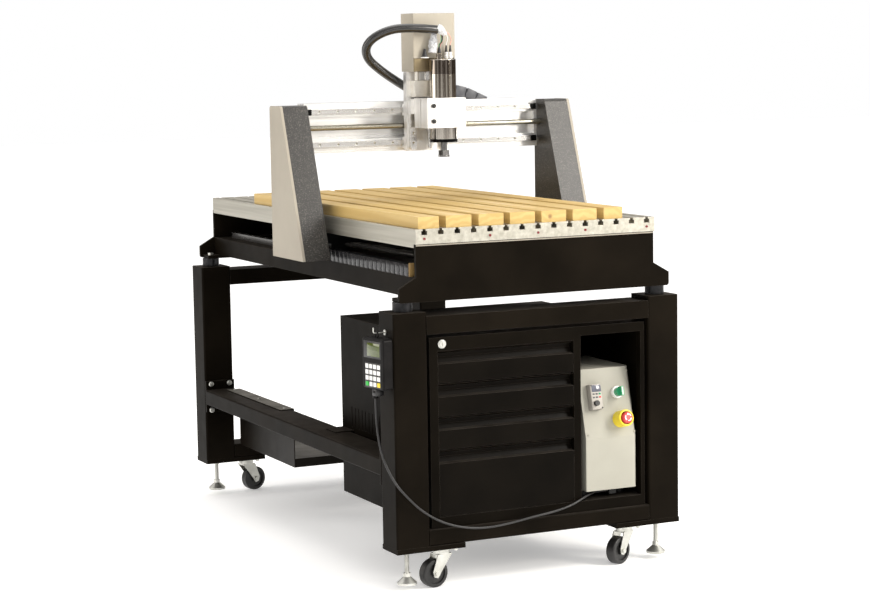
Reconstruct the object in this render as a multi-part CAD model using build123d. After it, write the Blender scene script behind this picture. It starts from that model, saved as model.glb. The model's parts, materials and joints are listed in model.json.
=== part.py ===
"""CNC router on a wheeled stand: a slotted bed, a moving gantry, a spindle and a tool cabinet.

Millimetres. The origin is on the floor at the centre of the stand's footprint.
+X runs across the machine to the right, +Y runs back along the bed, +Z is up.
"""
from build123d import *
import math
import os

# ---------------------------------------------------------------- driving dimensions
STAND_W, STAND_L = 900.0, 1650.0     # over the legs
LEG = 100.0                          # square leg column
LEG_BOTTOM = 112.0                   # floor to the foot plates: the height of a caster
LEG_TOP = LEG_BOTTOM + 665.0
FOOT_PLATE = 14.0                    # thickness
LEG_X, LEG_Y = STAND_W / 2 - LEG / 2, STAND_L / 2 - LEG / 2
CORNERS = [(-1, -1), (1, -1), (-1, 1), (1, 1)]
CORNER_NAMES = ["front_left", "front_right", "rear_left", "rear_right"]

SIDE_RAIL_Z = (316.0, 366.0)
SIDE_FLANGE_Z = (291.0, 395.0)
SIDE_FLANGE = 9.0
BOLT_X, BOLT_Z = 32.0, (297.5, 385.0)

CASTER_X = 293.0
CASTER_ANGLES = [188.0, 202.7, 12.7, 200.0]   # where each wheel trails to, from +X
WHEEL_R, WHEEL_W, TRAIL = 40.0, 30.0, 28.0
AXLE_R = 4.0
STEM_R = 6.0                         # levelling foot

BASE_Z = LEG_TOP + 27.0              # top of the isolators
PLATE_FRONT, PLATE_REAR = -814.0, 815.0
PLATE_T = 10.0
BED_X, BED_Y = 375.9, (-819.0, 806.0)
BED_Z = (962.5, 1003.5)
SLOT_PITCH, SLOT_COUNT = 50.0, 15
BASE_RAIL_X, BASE_RAIL_Z = (295.0, 375.0), (BASE_Z + PLATE_T, 870.0)
Y_RAIL_X, Y_RAIL_W, Y_RAIL_H = 320.0, 20.0, 18.0
Y_SCREW_Z, Y_SCREW_R = 850.0, 10.0
SLAT_X = [(-364, -301), (-280, -202), (-180, -103), (-83, -5), (16, 94), (115, 192), (215, 275)]
SLAT_Y, SLAT_T = (-810.0, 443.0), 32.5

UPRIGHT_X = (399.5, 478.5)
PANEL_X = (478.5, 486.5)
UPRIGHT_Z = (878.0, 1328.0)
UPRIGHT_FRONT = (-273.0, -116.0)     # y of the sloping front, at the bottom and at the top
UPRIGHT_BACK, PANEL_BACK = -48.0, -31.0
CROSS_Y, CROSS_Z = (-145.0, -35.0), (915.0, 950.0)
BEAM_Y, BEAM_Z = (-63.0, -13.0), (1182.0, 1332.0)
BEAM_END = 389.5
X_RAIL_Z, RAIL_W = (1306.0, 1207.0), 15.0
X_SCREW = (-79.0, 1258.0)            # y, z
X_SCREW_R = 8.0
CHAIN_Y = (-5.0, 25.0)
CHAIN_LINE, CHAIN_HALF = 1360.0, 19.0   # z of the upper run's middle, half its height

CARRIAGE_X = (-72.0, 64.0)
CARRIAGE_Y = (-111.0, -91.0)
CARRIAGE_Z = (1182.0, 1422.0)
Z_SCREW = (-4.0, -127.0)             # x, y
Z_SCREW_R = 6.0
Z_RAIL_X = (-56.0, 48.0)
COVER_X, COVER_Y, COVER_Z = (-69.0, 71.0), (-160.0, -72.0), (1422.0, 1597.0)
COVER_FRONT_Z = 1462.0
CLAMP_X, CLAMP_Y, CLAMP_Z = (-58.5, 71.0), (-230.0, -137.0), (1253.0, 1342.5)
SPINDLE = (17.0, -183.0)             # x, y
SPINDLE_R = 40.0

CABINET_X, CABINET_Y, CABINET_Z = 340.0, (-817.0, -195.0), (172.0, 704.0)
FRAME_DEPTH, SHEET = 22.0, 3.0
DRAWER_X = (-315.0, 110.0)
DRAWER_Z = [(203.0, 389.5), (389.5, 482.0), (482.0, 575.0), (575.0, 667.0)]
BAY_X, BAY_Z = (132.0, 328.0), (202.0, 678.0)
DRAWER_GAP, DRAWER_DEPTH = 1.5, 560.0
LOCK = (-302.0, 685.5)               # x, z

BOX_X, BOX_Z, BOX_BACK = (149.0, 317.0), (227.0, 572.0), -515.0
PANEL_FOOT = (-815.0, 377.0)         # y, z of the fold below the sloping panel
PANEL_LEAN = math.degrees(math.atan2(50.0, 196.0))

PENDANT = (-475.6, -772.2, 640.0)
PENDANT_YAW = 10.5
PENDANT_SIZE = (102.0, 140.0, 30.0)
CORD_R = 3.25
HOSE_R = 13.5
CORD_ROUTE = [
    (-477.8, -760.7, 542.0), (-477.8, -760.7, 505.0), (-477.5, -767.0, 450.0),
    (-476.0, -786.0, 395.0), (-471.0, -815.0, 352.0), (-457.0, -841.0, 312.0),
    (-428.0, -844.0, 277.0), (-385.0, -842.0, 234.0), (-325.0, -841.0, 195.0),
    (-253.0, -841.0, 171.0), (-180.0, -841.0, 163.5), (-105.0, -841.5, 170.0),
    (-35.0, -841.0, 180.5), (30.0, -840.0, 187.0), (88.0, -835.0, 198.0),
    (131.0, -824.0, 212.0), (165.0, -804.0, 217.5), (198.0, -783.0, 218.0), (236.0, -783.0, 218.0),
]
HOSE_ROUTE = [
    (-6.0, -195.0, 1547.0), (-80.0, -198.0, 1554.0), (-160.0, -184.0, 1550.0),
    (-214.0, -146.0, 1514.0), (-204.0, -108.0, 1468.0), (-142.0, -88.0, 1424.0),
    (-72.0, -62.0, 1387.0), (-20.0, -22.0, 1368.0), (26.0, 10.0, 1360.0), (70.0, 10.0, 1360.0),
]


# ---------------------------------------------------------------- helpers
def block(x, y, z):
    """A box between two limits on each axis, given in either order."""
    centre = [(pair[0] + pair[1]) / 2 for pair in (x, y, z)]
    return Pos(*centre) * Box(*[abs(pair[1] - pair[0]) for pair in (x, y, z)])


def rod(radius, start, end):
    axis = Vector(*end) - Vector(*start)
    bottom = (Align.CENTER, Align.CENTER, Align.MIN)
    return Plane(origin=start, z_dir=axis) * Cylinder(radius, axis.length, align=bottom)


def ring(outer, inner, start, end):
    return rod(outer, start, end) - rod(inner, start, end)


def prism_x(points, x):
    """A (y, z) outline drawn out along X."""
    face = make_face(Polyline(*points, close=True))
    return extrude(Plane.YZ.offset(min(x)) * face, amount=abs(x[1] - x[0]))


def prism_y(points, y):
    """An (x, z) outline drawn out along Y."""
    face = make_face(Polyline(*points, close=True))
    return extrude(Plane.XZ.offset(-max(y)) * face, amount=abs(y[1] - y[0]))


def hexagon(across_flats, start, height):
    face = RegularPolygon(across_flats / math.sqrt(3), 6)
    return extrude(Plane.XY.offset(start[2]) * Pos(start[0], start[1]) * face, amount=height)


def domed_bolt(point, direction, radius, height):
    """A bolt head with a rounded top, its seat at point."""
    tip = Vector(*point) + Vector(*direction) * height
    head = rod(radius, point, tuple(tip))
    top = head.edges().filter_by(GeomType.CIRCLE).sort_by(lambda e: (e.center() - tip).length)[0]
    return fillet(top, height * 0.6)


def tube_along(route, radius, name):
    """A round tube on straight runs joined by the largest tangent arcs that the runs allow."""
    points = [Vector(*p) for p in route]
    radii = []
    for before, here, after in zip(points, points[1:], points[2:]):
        turn = math.radians((here - before).get_angle(after - here))
        shorter = min((here - before).length, (after - here).length)
        radii.append(0.45 * shorter / math.tan(turn / 2))
    path = FilletPolyline(*points, radius=radii)
    print(name, "radii", [round(r) for r in radii], "length", round(path.length))
    start = Plane(origin=path @ 0, z_dir=path % 0)
    return sweep(start * Circle(radius), path=path)


def group(solids):
    return Compound(children=list(solids))


def both_sides(shape):
    return [shape, mirror(shape, about=Plane.YZ)]


# ---------------------------------------------------------------- stand
def stand_legs():
    """Four box-section columns, each on the foot plate that it is welded to."""
    solids = []
    wall = 5.0
    for sx, sy in CORNERS:
        x, y = sx * LEG_X, sy * LEG_Y
        z = (LEG_BOTTOM + FOOT_PLATE, LEG_TOP)
        half = LEG / 2
        column = block((x - half, x + half), (y - half, y + half), z)
        column = fillet(column.edges().filter_by(Axis.Z), 6)
        inner = half - wall
        column -= block((x - inner, x + inner), (y - inner, y + inner), (z[0], z[1] - wall))
        plate = block((sx * 242, sx * 450), (y - half, y + half), (LEG_BOTTOM, z[0]))
        plate -= rod(STEM_R + 0.05, (x, y, LEG_BOTTOM - 1), (x, y, z[0] + 1))
        solids += [column, plate]
    return group(solids)


def stand_rails():
    """Cross rails between the legs at top and bottom, and the two flanged side rails."""
    solids = []
    inner = STAND_W / 2 - LEG
    for sy in (-1, 1):
        y = (sy * (STAND_L / 2 - LEG), sy * STAND_L / 2)
        solids.append(block((-inner, inner), y, (LEG_BOTTOM + 603, LEG_BOTTOM + 653)))
        low = block((-inner, inner), y, (LEG_BOTTOM + FOOT_PLATE, CABINET_Z[0]))
        solids.append(fillet(low.edges().filter_by(Axis.X), 7))
    end = STAND_L / 2 - LEG
    rail = block((inner, STAND_W / 2), (-end, end), SIDE_RAIL_Z)
    rail = fillet(rail.edges().filter_by(Axis.Y), 5)
    for sy in (-1, 1):
        rail += block((inner, STAND_W / 2), (sy * end, sy * (end - SIDE_FLANGE)), SIDE_FLANGE_Z)
    return group(solids + both_sides(rail))


def fasteners():
    """Flange bolts, mount bolts, lock nuts of the feet, caster bolts and the pendant's hook."""
    solids = []
    face = STAND_L / 2 - LEG - SIDE_FLANGE
    for sx, sy in CORNERS:
        for dx in (-BOLT_X, BOLT_X):
            for z in BOLT_Z:
                solids.append(domed_bolt((sx * LEG_X + dx, sy * face, z), (0, -sy, 0), 9, 6))
        x, y = sx * LEG_X, sy * LEG_Y
        head = hexagon(16, (x, y, BASE_Z + PLATE_T), 7)
        solids.append(head + rod(5, (x, y, LEG_TOP + 8), (x, y, BASE_Z + PLATE_T)))
        nut = hexagon(19, (x, y, LEG_BOTTOM - 10), 10)
        solids.append(nut - rod(STEM_R + 0.05, (x, y, 90), (x, y, 120)))
        for dx, dy in CORNERS:
            low = (sx * CASTER_X + dx * 30, y + dy * 30, LEG_BOTTOM - 9)
            solids.append(hexagon(10, low, 5))
    hook = FilletPolyline((-450, -772, 722.7), (-486, -772, 722.7), (-486, -772, 738), radius=6)
    wire = sweep(Plane(origin=hook @ 0, z_dir=hook % 0) * Circle(2), path=hook)
    solids.append(wire + rod(8, (-450, -772, 722.7), (-453, -772, 722.7)))
    return group(solids)


def isolators():
    solids = []
    for sx, sy in CORNERS:
        x, y = sx * LEG_X, sy * LEG_Y
        puck = rod(27.5, (x, y, LEG_TOP), (x, y, BASE_Z))
        puck = chamfer(puck.edges().filter_by(GeomType.CIRCLE), 1.5)
        solids.append(puck - rod(5, (x, y, LEG_TOP + 8), (x, y, BASE_Z + 1)))
    return group(solids)


# ---------------------------------------------------------------- casters and feet
def caster_plates():
    solids = []
    for sx, sy in CORNERS:
        x, y = sx * CASTER_X, sy * LEG_Y
        plate = block((x - 37, x + 37), (y - 37, y + 37), (LEG_BOTTOM - 4, LEG_BOTTOM))
        plate = fillet(plate.edges().filter_by(Axis.Z), 6)
        solids.append(plate + rod(24, (x, y, LEG_BOTTOM - 12), (x, y, LEG_BOTTOM - 4)))
    return group(solids)


def caster_frame(index):
    """Where a caster stands, with its local +X along the trail and +Y along the axle."""
    sx, sy = CORNERS[index]
    return Pos(sx * CASTER_X, sy * LEG_Y, 0) * Rot(0, 0, CASTER_ANGLES[index])


def caster_fork(index):
    crown = rod(24, (0, 0, 93), (0, 0, 99.7)) + block((-22, 24), (-20, 20), (90, 93))
    cheek_outline = [(-22, 93), (24, 93), (41, 46), (37, 31), (25, 27), (15, 42)]
    cheeks = [prism_y(cheek_outline, (s * 17.0, s * 20.0)) for s in (-1, 1)]
    fork = crown + cheeks[0] + cheeks[1]
    fork -= rod(AXLE_R, (TRAIL, -30, WHEEL_R), (TRAIL, 30, WHEEL_R))
    axle = rod(AXLE_R, (TRAIL, -24, WHEEL_R), (TRAIL, 24, WHEEL_R))
    for s in (-1, 1):
        axle += rod(7, (TRAIL, s * 20, WHEEL_R), (TRAIL, s * 25, WHEEL_R))
    return caster_frame(index) * group([fork, axle])


def caster_wheel(index):
    wheel = rod(WHEEL_R, (TRAIL, -WHEEL_W / 2, WHEEL_R), (TRAIL, WHEEL_W / 2, WHEEL_R))
    wheel = fillet(wheel.edges().filter_by(GeomType.CIRCLE), 5)
    for s in (-1, 1):
        wheel -= ring(29, 13, (TRAIL, s * 10.5, WHEEL_R), (TRAIL, s * 16, WHEEL_R))
    wheel -= rod(AXLE_R + 0.05, (TRAIL, -20, WHEEL_R), (TRAIL, 20, WHEEL_R))
    return caster_frame(index) * wheel


def levelling_foot(index):
    sx, sy = CORNERS[index]
    x, y = sx * LEG_X, sy * LEG_Y
    cone_bottom, cone_top = 22.0, 38.0
    pad = rod(27.5, (x, y, 16), (x, y, cone_bottom))
    cone = Cone(27.5, 10, cone_top - cone_bottom)
    pad += Pos(x, y, (cone_bottom + cone_top) / 2) * cone
    pad += hexagon(19, (x, y, cone_top), 10)
    return pad + rod(STEM_R, (x, y, cone_top), (x, y, 190))


# ---------------------------------------------------------------- base and bed
def base_end_plates():
    """Front and rear plates with chamfered shoulders and an inward foot flange each."""
    solids = []
    narrow, wide = 374.4, 425.6
    right = [(narrow, BED_Z[0]), (narrow, 872), (wide, 843), (wide, BASE_Z)]
    outline = right + [(-x, z) for x, z in reversed(right)]
    for outer, inward in ((PLATE_FRONT, 1), (PLATE_REAR, -1)):
        inner = outer + inward * PLATE_T
        plate = prism_y(outline, (outer, inner))
        low = plate.edges().filter_by(Axis.Y).filter_by_position(Axis.Z, BASE_Z - 1, BASE_Z + 1)
        plate = fillet(low, 8)
        plate += block((8 - wide, wide - 8), (inner, outer + inward * 66), (BASE_Z, BASE_Z + PLATE_T))
        for sx in (-1, 1):
            x, y = sx * LEG_X, -inward * LEG_Y
            plate -= rod(5, (x, y, BASE_Z - 1), (x, y, BASE_Z + PLATE_T + 1))
        solids.append(plate)
    return group(solids)


def base_rails():
    """Box-section side rails, the end beams between them, the motor's plate and the bottom pan."""
    wall = 5.0
    ends = (PLATE_FRONT + PLATE_T, PLATE_REAR - PLATE_T)
    rail = block(BASE_RAIL_X, ends, BASE_RAIL_Z)
    inner_x = (BASE_RAIL_X[0] + wall, BASE_RAIL_X[1] - wall)
    inner_z = (BASE_RAIL_Z[0] + wall, BASE_RAIL_Z[1] - wall)
    rail -= block(inner_x, ends, inner_z)
    solids = both_sides(rail)
    span = (-BASE_RAIL_X[0], BASE_RAIL_X[0])
    for y in ((ends[0], ends[0] + 43), (ends[1] - 43, ends[1])):
        beam = block(span, y, BASE_RAIL_Z)
        solids.append(beam - block(span, (y[0] + wall, y[1] - wall), inner_z))
    solids.append(block(span, (580, ends[1] - 43), (BASE_RAIL_Z[0], BASE_RAIL_Z[0] + 6)))
    solids.append(block(span, (ends[0] + 43, 580), (BASE_RAIL_Z[0], BASE_RAIL_Z[0] + SHEET)))
    return group(solids)


def y_rails():
    x = (Y_RAIL_X - Y_RAIL_W / 2, Y_RAIL_X + Y_RAIL_W / 2)
    z = (BASE_RAIL_Z[1], BASE_RAIL_Z[1] + Y_RAIL_H)
    rail = block(x, (-755, 755), z)
    rail -= block((x[0], x[0] + 2.5), (-755, 755), (z[0] + 7, z[0] + 12))
    rail -= block((x[1] - 2.5, x[1]), (-755, 755), (z[0] + 7, z[0] + 12))
    return group(both_sides(rail))


def y_screw_drive():
    """The motor and the two bearing blocks of the long screw."""
    floor = BASE_RAIL_Z[0] + 6
    front = block((-30, 30), (-761, -738), (822, 878))
    rear = block((-30, 30), (590, 615), (floor, 878))
    motor = block((-30, 30), (655, 745), (floor, floor + 60))
    motor = chamfer(motor.edges().filter_by(Axis.Y), 5)
    bore = rod(Y_SCREW_R + 0.05, (0, -770, Y_SCREW_Z), (0, 640, Y_SCREW_Z))
    return group([front - bore, rear - bore, motor])


def y_screw():
    screw = rod(Y_SCREW_R, (0, -757, Y_SCREW_Z), (0, 640, Y_SCREW_Z))
    return screw + rod(16, (0, 620, Y_SCREW_Z), (0, 654.7, Y_SCREW_Z))


def y_chain():
    """The lower run of the cable chain, lying on the left rail, with its end tab."""
    run = block((-374, -346), (-765, 155), (BASE_RAIL_Z[1], 904))
    tab = block((-374, -346), (-769, -765), (BASE_RAIL_Z[1], 908))
    return group([run, tab])


def bed_plate():
    """An extrusion with T-slots along its whole length, open at both ends."""
    top, bottom = BED_Z[1], BED_Z[0]
    mouth, wide, lip, depth = 4.5, 8.5, 5.0, 16.0
    outline = [(-BED_X, bottom), (-BED_X, top)]
    for i in range(SLOT_COUNT):
        x = (i - (SLOT_COUNT - 1) / 2) * SLOT_PITCH
        left = [(x - mouth, top), (x - mouth, top - lip), (x - wide, top - lip), (x - wide, top - depth)]
        right = [(x + wide, top - depth), (x + wide, top - lip), (x + mouth, top - lip), (x + mouth, top)]
        outline += left + right
    outline += [(BED_X, top), (BED_X, bottom)]
    strips = both_sides(block((356, BED_X), (-804, 805), (BED_Z[0] - 10, BED_Z[0])))
    return group([prism_y(outline, BED_Y)] + strips)


def spoilboard_slats():
    solids = []
    for x in SLAT_X:
        slat = block(x, SLAT_Y, (BED_Z[1], BED_Z[1] + SLAT_T))
        solids.append(chamfer(slat.edges().filter_by(Axis.Y), 1.2))
    return group(solids)


# ---------------------------------------------------------------- cabinet
def cabinet_shell():
    """Carcass with a frame of folded sheet round the drawers and the open bay, and slides inside."""
    left, right = -CABINET_X, CABINET_X
    inside_y = (CABINET_Y[0] + FRAME_DEPTH, CABINET_Y[1] - SHEET)
    frame_y = (CABINET_Y[0] - 1, inside_y[0])
    low, top = CABINET_Z[0] + SHEET, CABINET_Z[1] - SHEET
    middle = (DRAWER_X[1] + BAY_X[0]) / 2
    shell = block((left, right), CABINET_Y, CABINET_Z)
    shell -= block((left + SHEET, middle - SHEET / 2), inside_y, (low, top))
    shell -= block((middle + SHEET / 2, right - SHEET), inside_y, (BAY_Z[0], top))
    shell -= block(DRAWER_X, frame_y, (DRAWER_Z[0][0], DRAWER_Z[-1][1]))
    shell -= block(BAY_X, frame_y, BAY_Z)
    shell -= rod(8.05, (LOCK[0], frame_y[0] - 1, LOCK[1]), (LOCK[0], inside_y[0] + 1, LOCK[1]))
    louvres = [block((left - 1, left + SHEET + 1), (y, y + 5), (378, 438)) for y in range(-672, -270, 25)]
    for slot in louvres:
        shell -= slot
    tab = block((right, right + 60), (-280, -208), (SIDE_RAIL_Z[1], SIDE_RAIL_Z[1] + SHEET))
    solids = [shell + both_sides(tab)[0] + both_sides(tab)[1]]
    for low_z, top_z in DRAWER_Z:
        z = ((low_z + top_z) / 2 - 26, (low_z + top_z) / 2 + 4)
        for x in ((left + SHEET, -313.6), (108.6, middle - SHEET / 2)):
            solids.append(block(x, (-788, -290), z))
    return group(solids)


def drawer(index):
    """A tray with a thick front whose top is rolled in to make a full-width pull."""
    low = DRAWER_Z[index][0] + DRAWER_GAP
    top = DRAWER_Z[index][1] - DRAWER_GAP
    face = CABINET_Y[0]
    back = face + 34
    outline = [
        (face, low), (face, top - 36), (face + 14, top - 33), (face + 22, top - 19),
        (face + 19, top - 8), (face + 6, top - 4), (face + 1, top), (back, top), (back, low),
    ]
    x = (DRAWER_X[0] + DRAWER_GAP, DRAWER_X[1] - DRAWER_GAP)
    front = prism_x(outline, x)
    tray_x = (DRAWER_X[0] + 1.8, DRAWER_X[1] - 1.8)
    rim = top - 42
    tray = block(tray_x, (back, face + DRAWER_DEPTH), (low + 6, rim))
    wall = 2.5
    inside = (tray_x[0] + wall, tray_x[1] - wall)
    tray -= block(inside, (back, face + DRAWER_DEPTH - wall), (low + 6 + wall, rim + 1))
    return front + tray


def drawer_lock():
    barrel = rod(8, (LOCK[0], -822, LOCK[1]), (LOCK[0], -797, LOCK[1]))
    return barrel - block((LOCK[0] - 1, LOCK[0] + 1), (-823, -818), (LOCK[1] - 5, LOCK[1] + 5))


def rear_tray():
    """A sheet pan hung by its flanges on the side rails."""
    y, floor = (185.0, 675.0), 180.0
    hang = SIDE_RAIL_Z[1]
    pan = block((-348, 348), y, (floor, hang + SHEET))
    pan -= block((-345, 345), (y[0] - 1, y[1] + 1), (floor + SHEET, hang + SHEET + 1))
    for edge in ((y[0], y[0] + SHEET), (y[1] - SHEET, y[1])):
        pan += block((-345, 345), edge, (floor + SHEET, floor + 28))
    flange = block((345, 392), y, (hang, hang + SHEET))
    return pan + both_sides(flange)[0] + both_sides(flange)[1]


# ---------------------------------------------------------------- control box
PANEL = Plane(
    origin=(0, PANEL_FOOT[0], PANEL_FOOT[1]),
    x_dir=(1, 0, 0),
    z_dir=(0, -math.cos(math.radians(PANEL_LEAN)), math.sin(math.radians(PANEL_LEAN))),
)
SWITCH_AT, STOP_AT = (266.0, 128.0), (267.0, 50.0)     # across, and up the sloping panel
KEYPAD_AT, KEYPAD = (189.5, 119.0), (36.0, 72.0, 22.0)
KNOB_AT = (184.0, 100.0)


def on_panel(radius, at, low, high):
    """A round piece square to the sloping panel, between two heights above it."""
    bottom = (Align.CENTER, Align.CENTER, Align.MIN)
    return PANEL * Pos(at[0], at[1], low) * Cylinder(radius, high - low, align=bottom)


def box_outline(inset):
    """The control box seen from its side, drawn in by a wall's thickness."""
    fold_y, fold_z = PANEL_FOOT
    lean = math.tan(math.radians(PANEL_LEAN))
    low, top = BOX_Z[0] + inset, BOX_Z[1] - inset
    top_y = fold_y + inset + (top - fold_z) * lean
    return [(fold_y + inset, low), (fold_y + inset, fold_z), (top_y, top),
            (BOX_BACK - inset, top), (BOX_BACK - inset, low)]


def control_box():
    """Sheet-metal housing with a sloping panel, on rubber feet, with a cable entry below."""
    shell = prism_x(box_outline(0), BOX_X)
    corner = shell.edges().filter_by_position(Axis.X, BOX_X[1] - 1, BOX_X[1] + 1)
    front = [e for e in corner if e.center().Y < -760 and abs((e % 0.5).Z) > 0.5]
    shell = fillet(front, 14)
    shell -= prism_x(box_outline(3), (BOX_X[0] + 3, BOX_X[1] - 3))
    u, v = KEYPAD_AT
    shell -= PANEL * Pos(u, v, 0) * Box(KEYPAD[0] + 1, KEYPAD[1] + 1, 20)
    shell -= on_panel(5.3, SWITCH_AT, -10, 10)
    shell -= on_panel(6.3, STOP_AT, -10, 10)
    solids = [shell]
    for x in (BOX_X[0] + 25, BOX_X[1] - 25):
        for y in (-745, -545):
            solids.append(rod(15, (x, y, BAY_Z[0]), (x, y, BOX_Z[0])))
    solids.append(block((236, 258), (-793, -773), (209, BOX_Z[0])))
    return group(solids)


def inverter():
    u, v = KEYPAD_AT
    front = PANEL * Pos(u, v, KEYPAD[2] / 2) * Box(*KEYPAD)
    front = fillet(front.faces().sort_by(PANEL.location.z_axis)[-1].edges(), 3)
    body = PANEL * Pos(u, v, -45) * Box(KEYPAD[0] - 2, KEYPAD[1] - 2, 90)
    return front + body


def inverter_knob():
    knob = on_panel(7.5, KNOB_AT, KEYPAD[2] + 0.3, KEYPAD[2] + 11)
    return knob - PANEL * Pos(KNOB_AT[0], KNOB_AT[1] + 5, KEYPAD[2] + 11) * Box(1.2, 6, 2)


def switch_bezel():
    return on_panel(17, SWITCH_AT, 0, 10) - on_panel(5.3, SWITCH_AT, -1, 11)


def rotary_switch():
    switch = on_panel(13, SWITCH_AT, 10.4, 26) + on_panel(5, SWITCH_AT, -14, 11)
    grip = PANEL * Pos(SWITCH_AT[0], SWITCH_AT[1], 30) * Box(8, 27, 18)
    return switch + grip


def estop_collar():
    cup = on_panel(24, STOP_AT, 0, 40)
    cup = fillet(cup.edges().filter_by(GeomType.CIRCLE).sort_by(PANEL.location.z_axis)[-1], 3)
    return cup - on_panel(19, STOP_AT, 8, 41) - on_panel(6.3, STOP_AT, -1, 9)


def estop_button():
    button = on_panel(16.5, STOP_AT, 26, 50)
    button = fillet(button.edges().filter_by(GeomType.CIRCLE).sort_by(PANEL.location.z_axis)[-1], 6)
    return button + on_panel(6, STOP_AT, -16, 27)


# ---------------------------------------------------------------- hand pendant
def pendant_plane():
    """Centre of the pendant: local X to its right, Y up, Z out of its face."""
    yaw = math.radians(PENDANT_YAW)
    normal = (-math.cos(yaw), -math.sin(yaw), 0)
    return Plane(origin=PENDANT, x_dir=(math.sin(yaw), -math.cos(yaw), 0), z_dir=normal)


def pendant_body():
    width, height, depth = PENDANT_SIZE
    body = Box(width, height, depth)
    body = fillet(body.edges().filter_by(Axis.Z), 9)
    body = fillet(body.faces().sort_by(Axis.Z)[-1].edges(), 4)
    body = pendant_plane() * body
    body += Pos(-476, -772, 718) * Rot(0, 90, 0) * Torus(9, 2)
    x, y, z = CORD_ROUTE[0]
    socket = rod(8, (x, y, z), (x, y, PENDANT[2] - height / 2))
    return group([body, socket])


def pendant_keys():
    """Four rows of four keys."""
    solids = []
    for row in range(4):
        for column in range(4):
            u, v = -27.5 + 18.4 * column, -57 + 16.4 * row
            key = pendant_plane() * Pos(u, v, 16) * Box(14, 12, 2)
            solids.append(key)
    return group(solids)


def pendant_screen():
    return pendant_plane() * Pos(3, 38, 15.5) * Box(60, 36, 1)


def pendant_cord():
    return tube_along(CORD_ROUTE, CORD_R, "pendant_cord")


# ---------------------------------------------------------------- gantry
def upright_outline(back, inset):
    low, top = UPRIGHT_Z[0] + inset, UPRIGHT_Z[1] - inset
    slope = (UPRIGHT_FRONT[1] - UPRIGHT_FRONT[0]) / (UPRIGHT_Z[1] - UPRIGHT_Z[0])
    front = [(UPRIGHT_FRONT[0] + inset * 1.1 + (z - UPRIGHT_Z[0]) * slope, z) for z in (low, top)]
    return front + [(back - inset, top), (back - inset, low)]


def gantry_uprights():
    """Two casings open on their outer side, with a sloping front."""
    casing = prism_x(upright_outline(UPRIGHT_BACK, 0), UPRIGHT_X)
    top = casing.edges().filter_by(Axis.X).filter_by_position(Axis.Z, UPRIGHT_Z[1] - 1, UPRIGHT_Z[1] + 1)
    casing = fillet(top, 12)
    casing -= prism_x(upright_outline(UPRIGHT_BACK, 5), (UPRIGHT_X[0] + 5, UPRIGHT_X[1] + 1))
    y, z = X_SCREW
    casing -= rod(10, (UPRIGHT_X[0] - 1, y, z), (UPRIGHT_X[0] + 6, y, z))
    return group(both_sides(casing))


def upright_side_panels():
    panel = prism_x(upright_outline(PANEL_BACK, 0), PANEL_X)
    top = panel.edges().filter_by(Axis.X).filter_by_position(Axis.Z, UPRIGHT_Z[1] - 1, UPRIGHT_Z[1] + 1)
    return group(both_sides(fillet(top, 10)))


def gantry_crossmember():
    """The tube under the bed, its four rail blocks, the screw's nut and the chain's upper run."""
    tube = block((-UPRIGHT_X[0], UPRIGHT_X[0]), CROSS_Y, CROSS_Z)
    hollow_y, hollow_z = (CROSS_Y[0] + 6, CROSS_Y[1] - 6), (CROSS_Z[0] + 6, CROSS_Z[1] - 6)
    tube -= block((-UPRIGHT_X[0], UPRIGHT_X[0]), hollow_y, hollow_z)
    solids = [tube]
    rail_top = BASE_RAIL_Z[1] + Y_RAIL_H
    for y in ((-142, -96), (-84, -38)):
        carrier = block((Y_RAIL_X - 22, Y_RAIL_X + 22), y, (BASE_RAIL_Z[1] + 4, CROSS_Z[0]))
        half = Y_RAIL_W / 2 + 0.4
        carrier -= block((Y_RAIL_X - half, Y_RAIL_X + half), y, (BASE_RAIL_Z[1], rail_top + 0.4))
        solids += both_sides(carrier)
    nut = block((-28, 28), (-125, -65), (826, CROSS_Z[0]))
    solids.append(nut - rod(Y_SCREW_R + 0.05, (0, -130, Y_SCREW_Z), (0, -60, Y_SCREW_Z)))
    chain = block((-374, -346), (CROSS_Y[1], 155), (922, 944))
    bend = rod(33.5, (-374, 155, 910.5), (-346, 155, 910.5)) - rod(11.5, (-375, 155, 910.5), (-345, 155, 910.5))
    bend &= block((-374, -346), (155, 200), (904.6, 960))
    solids.append(chain + bend)
    return group(solids)


def gantry_beam():
    """A recessed extrusion between the uprights, with an angle bracket at each end."""
    front, back = BEAM_Y
    low, top = BEAM_Z
    outline = [
        (front, low), (back, low), (back, top), (front, top),
        (front, 1291), (front + 20, 1291), (front + 20, 1221.5), (front, 1221.5),
    ]
    beam = prism_x(outline, (-BEAM_END, BEAM_END))
    bracket = block((BEAM_END, UPRIGHT_X[0]), BEAM_Y, (low, UPRIGHT_Z[1] - 2))
    bracket += block((UPRIGHT_X[0], 470), (UPRIGHT_BACK, UPRIGHT_BACK + 12), (low, UPRIGHT_Z[1] - 2))
    return group([beam] + both_sides(bracket))


def x_rails():
    """Two guide rails on the beam, with a rubber stop at each end."""
    solids = []
    half = RAIL_W / 2
    for z in X_RAIL_Z:
        rail = block((-370, 370), (BEAM_Y[0] - RAIL_W, BEAM_Y[0]), (z - half, z + half))
        for side in (-1, 1):
            groove = (z + side * half, z + side * (half - 2))
            rail -= block((-370, 370), (BEAM_Y[0] - 10, BEAM_Y[0] - 6), groove)
        solids.append(rail)
        for sx in (-1, 1):
            solids.append(block((sx * 372, sx * 389), (BEAM_Y[0] - 18, BEAM_Y[0]), (z - 9, z + 9)))
    return group(solids)


def x_screw():
    y, z = X_SCREW
    screw = rod(X_SCREW_R, (-404, y, z), (416, y, z))
    return screw + rod(14, (410, y, z), (430, y, z))


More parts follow.
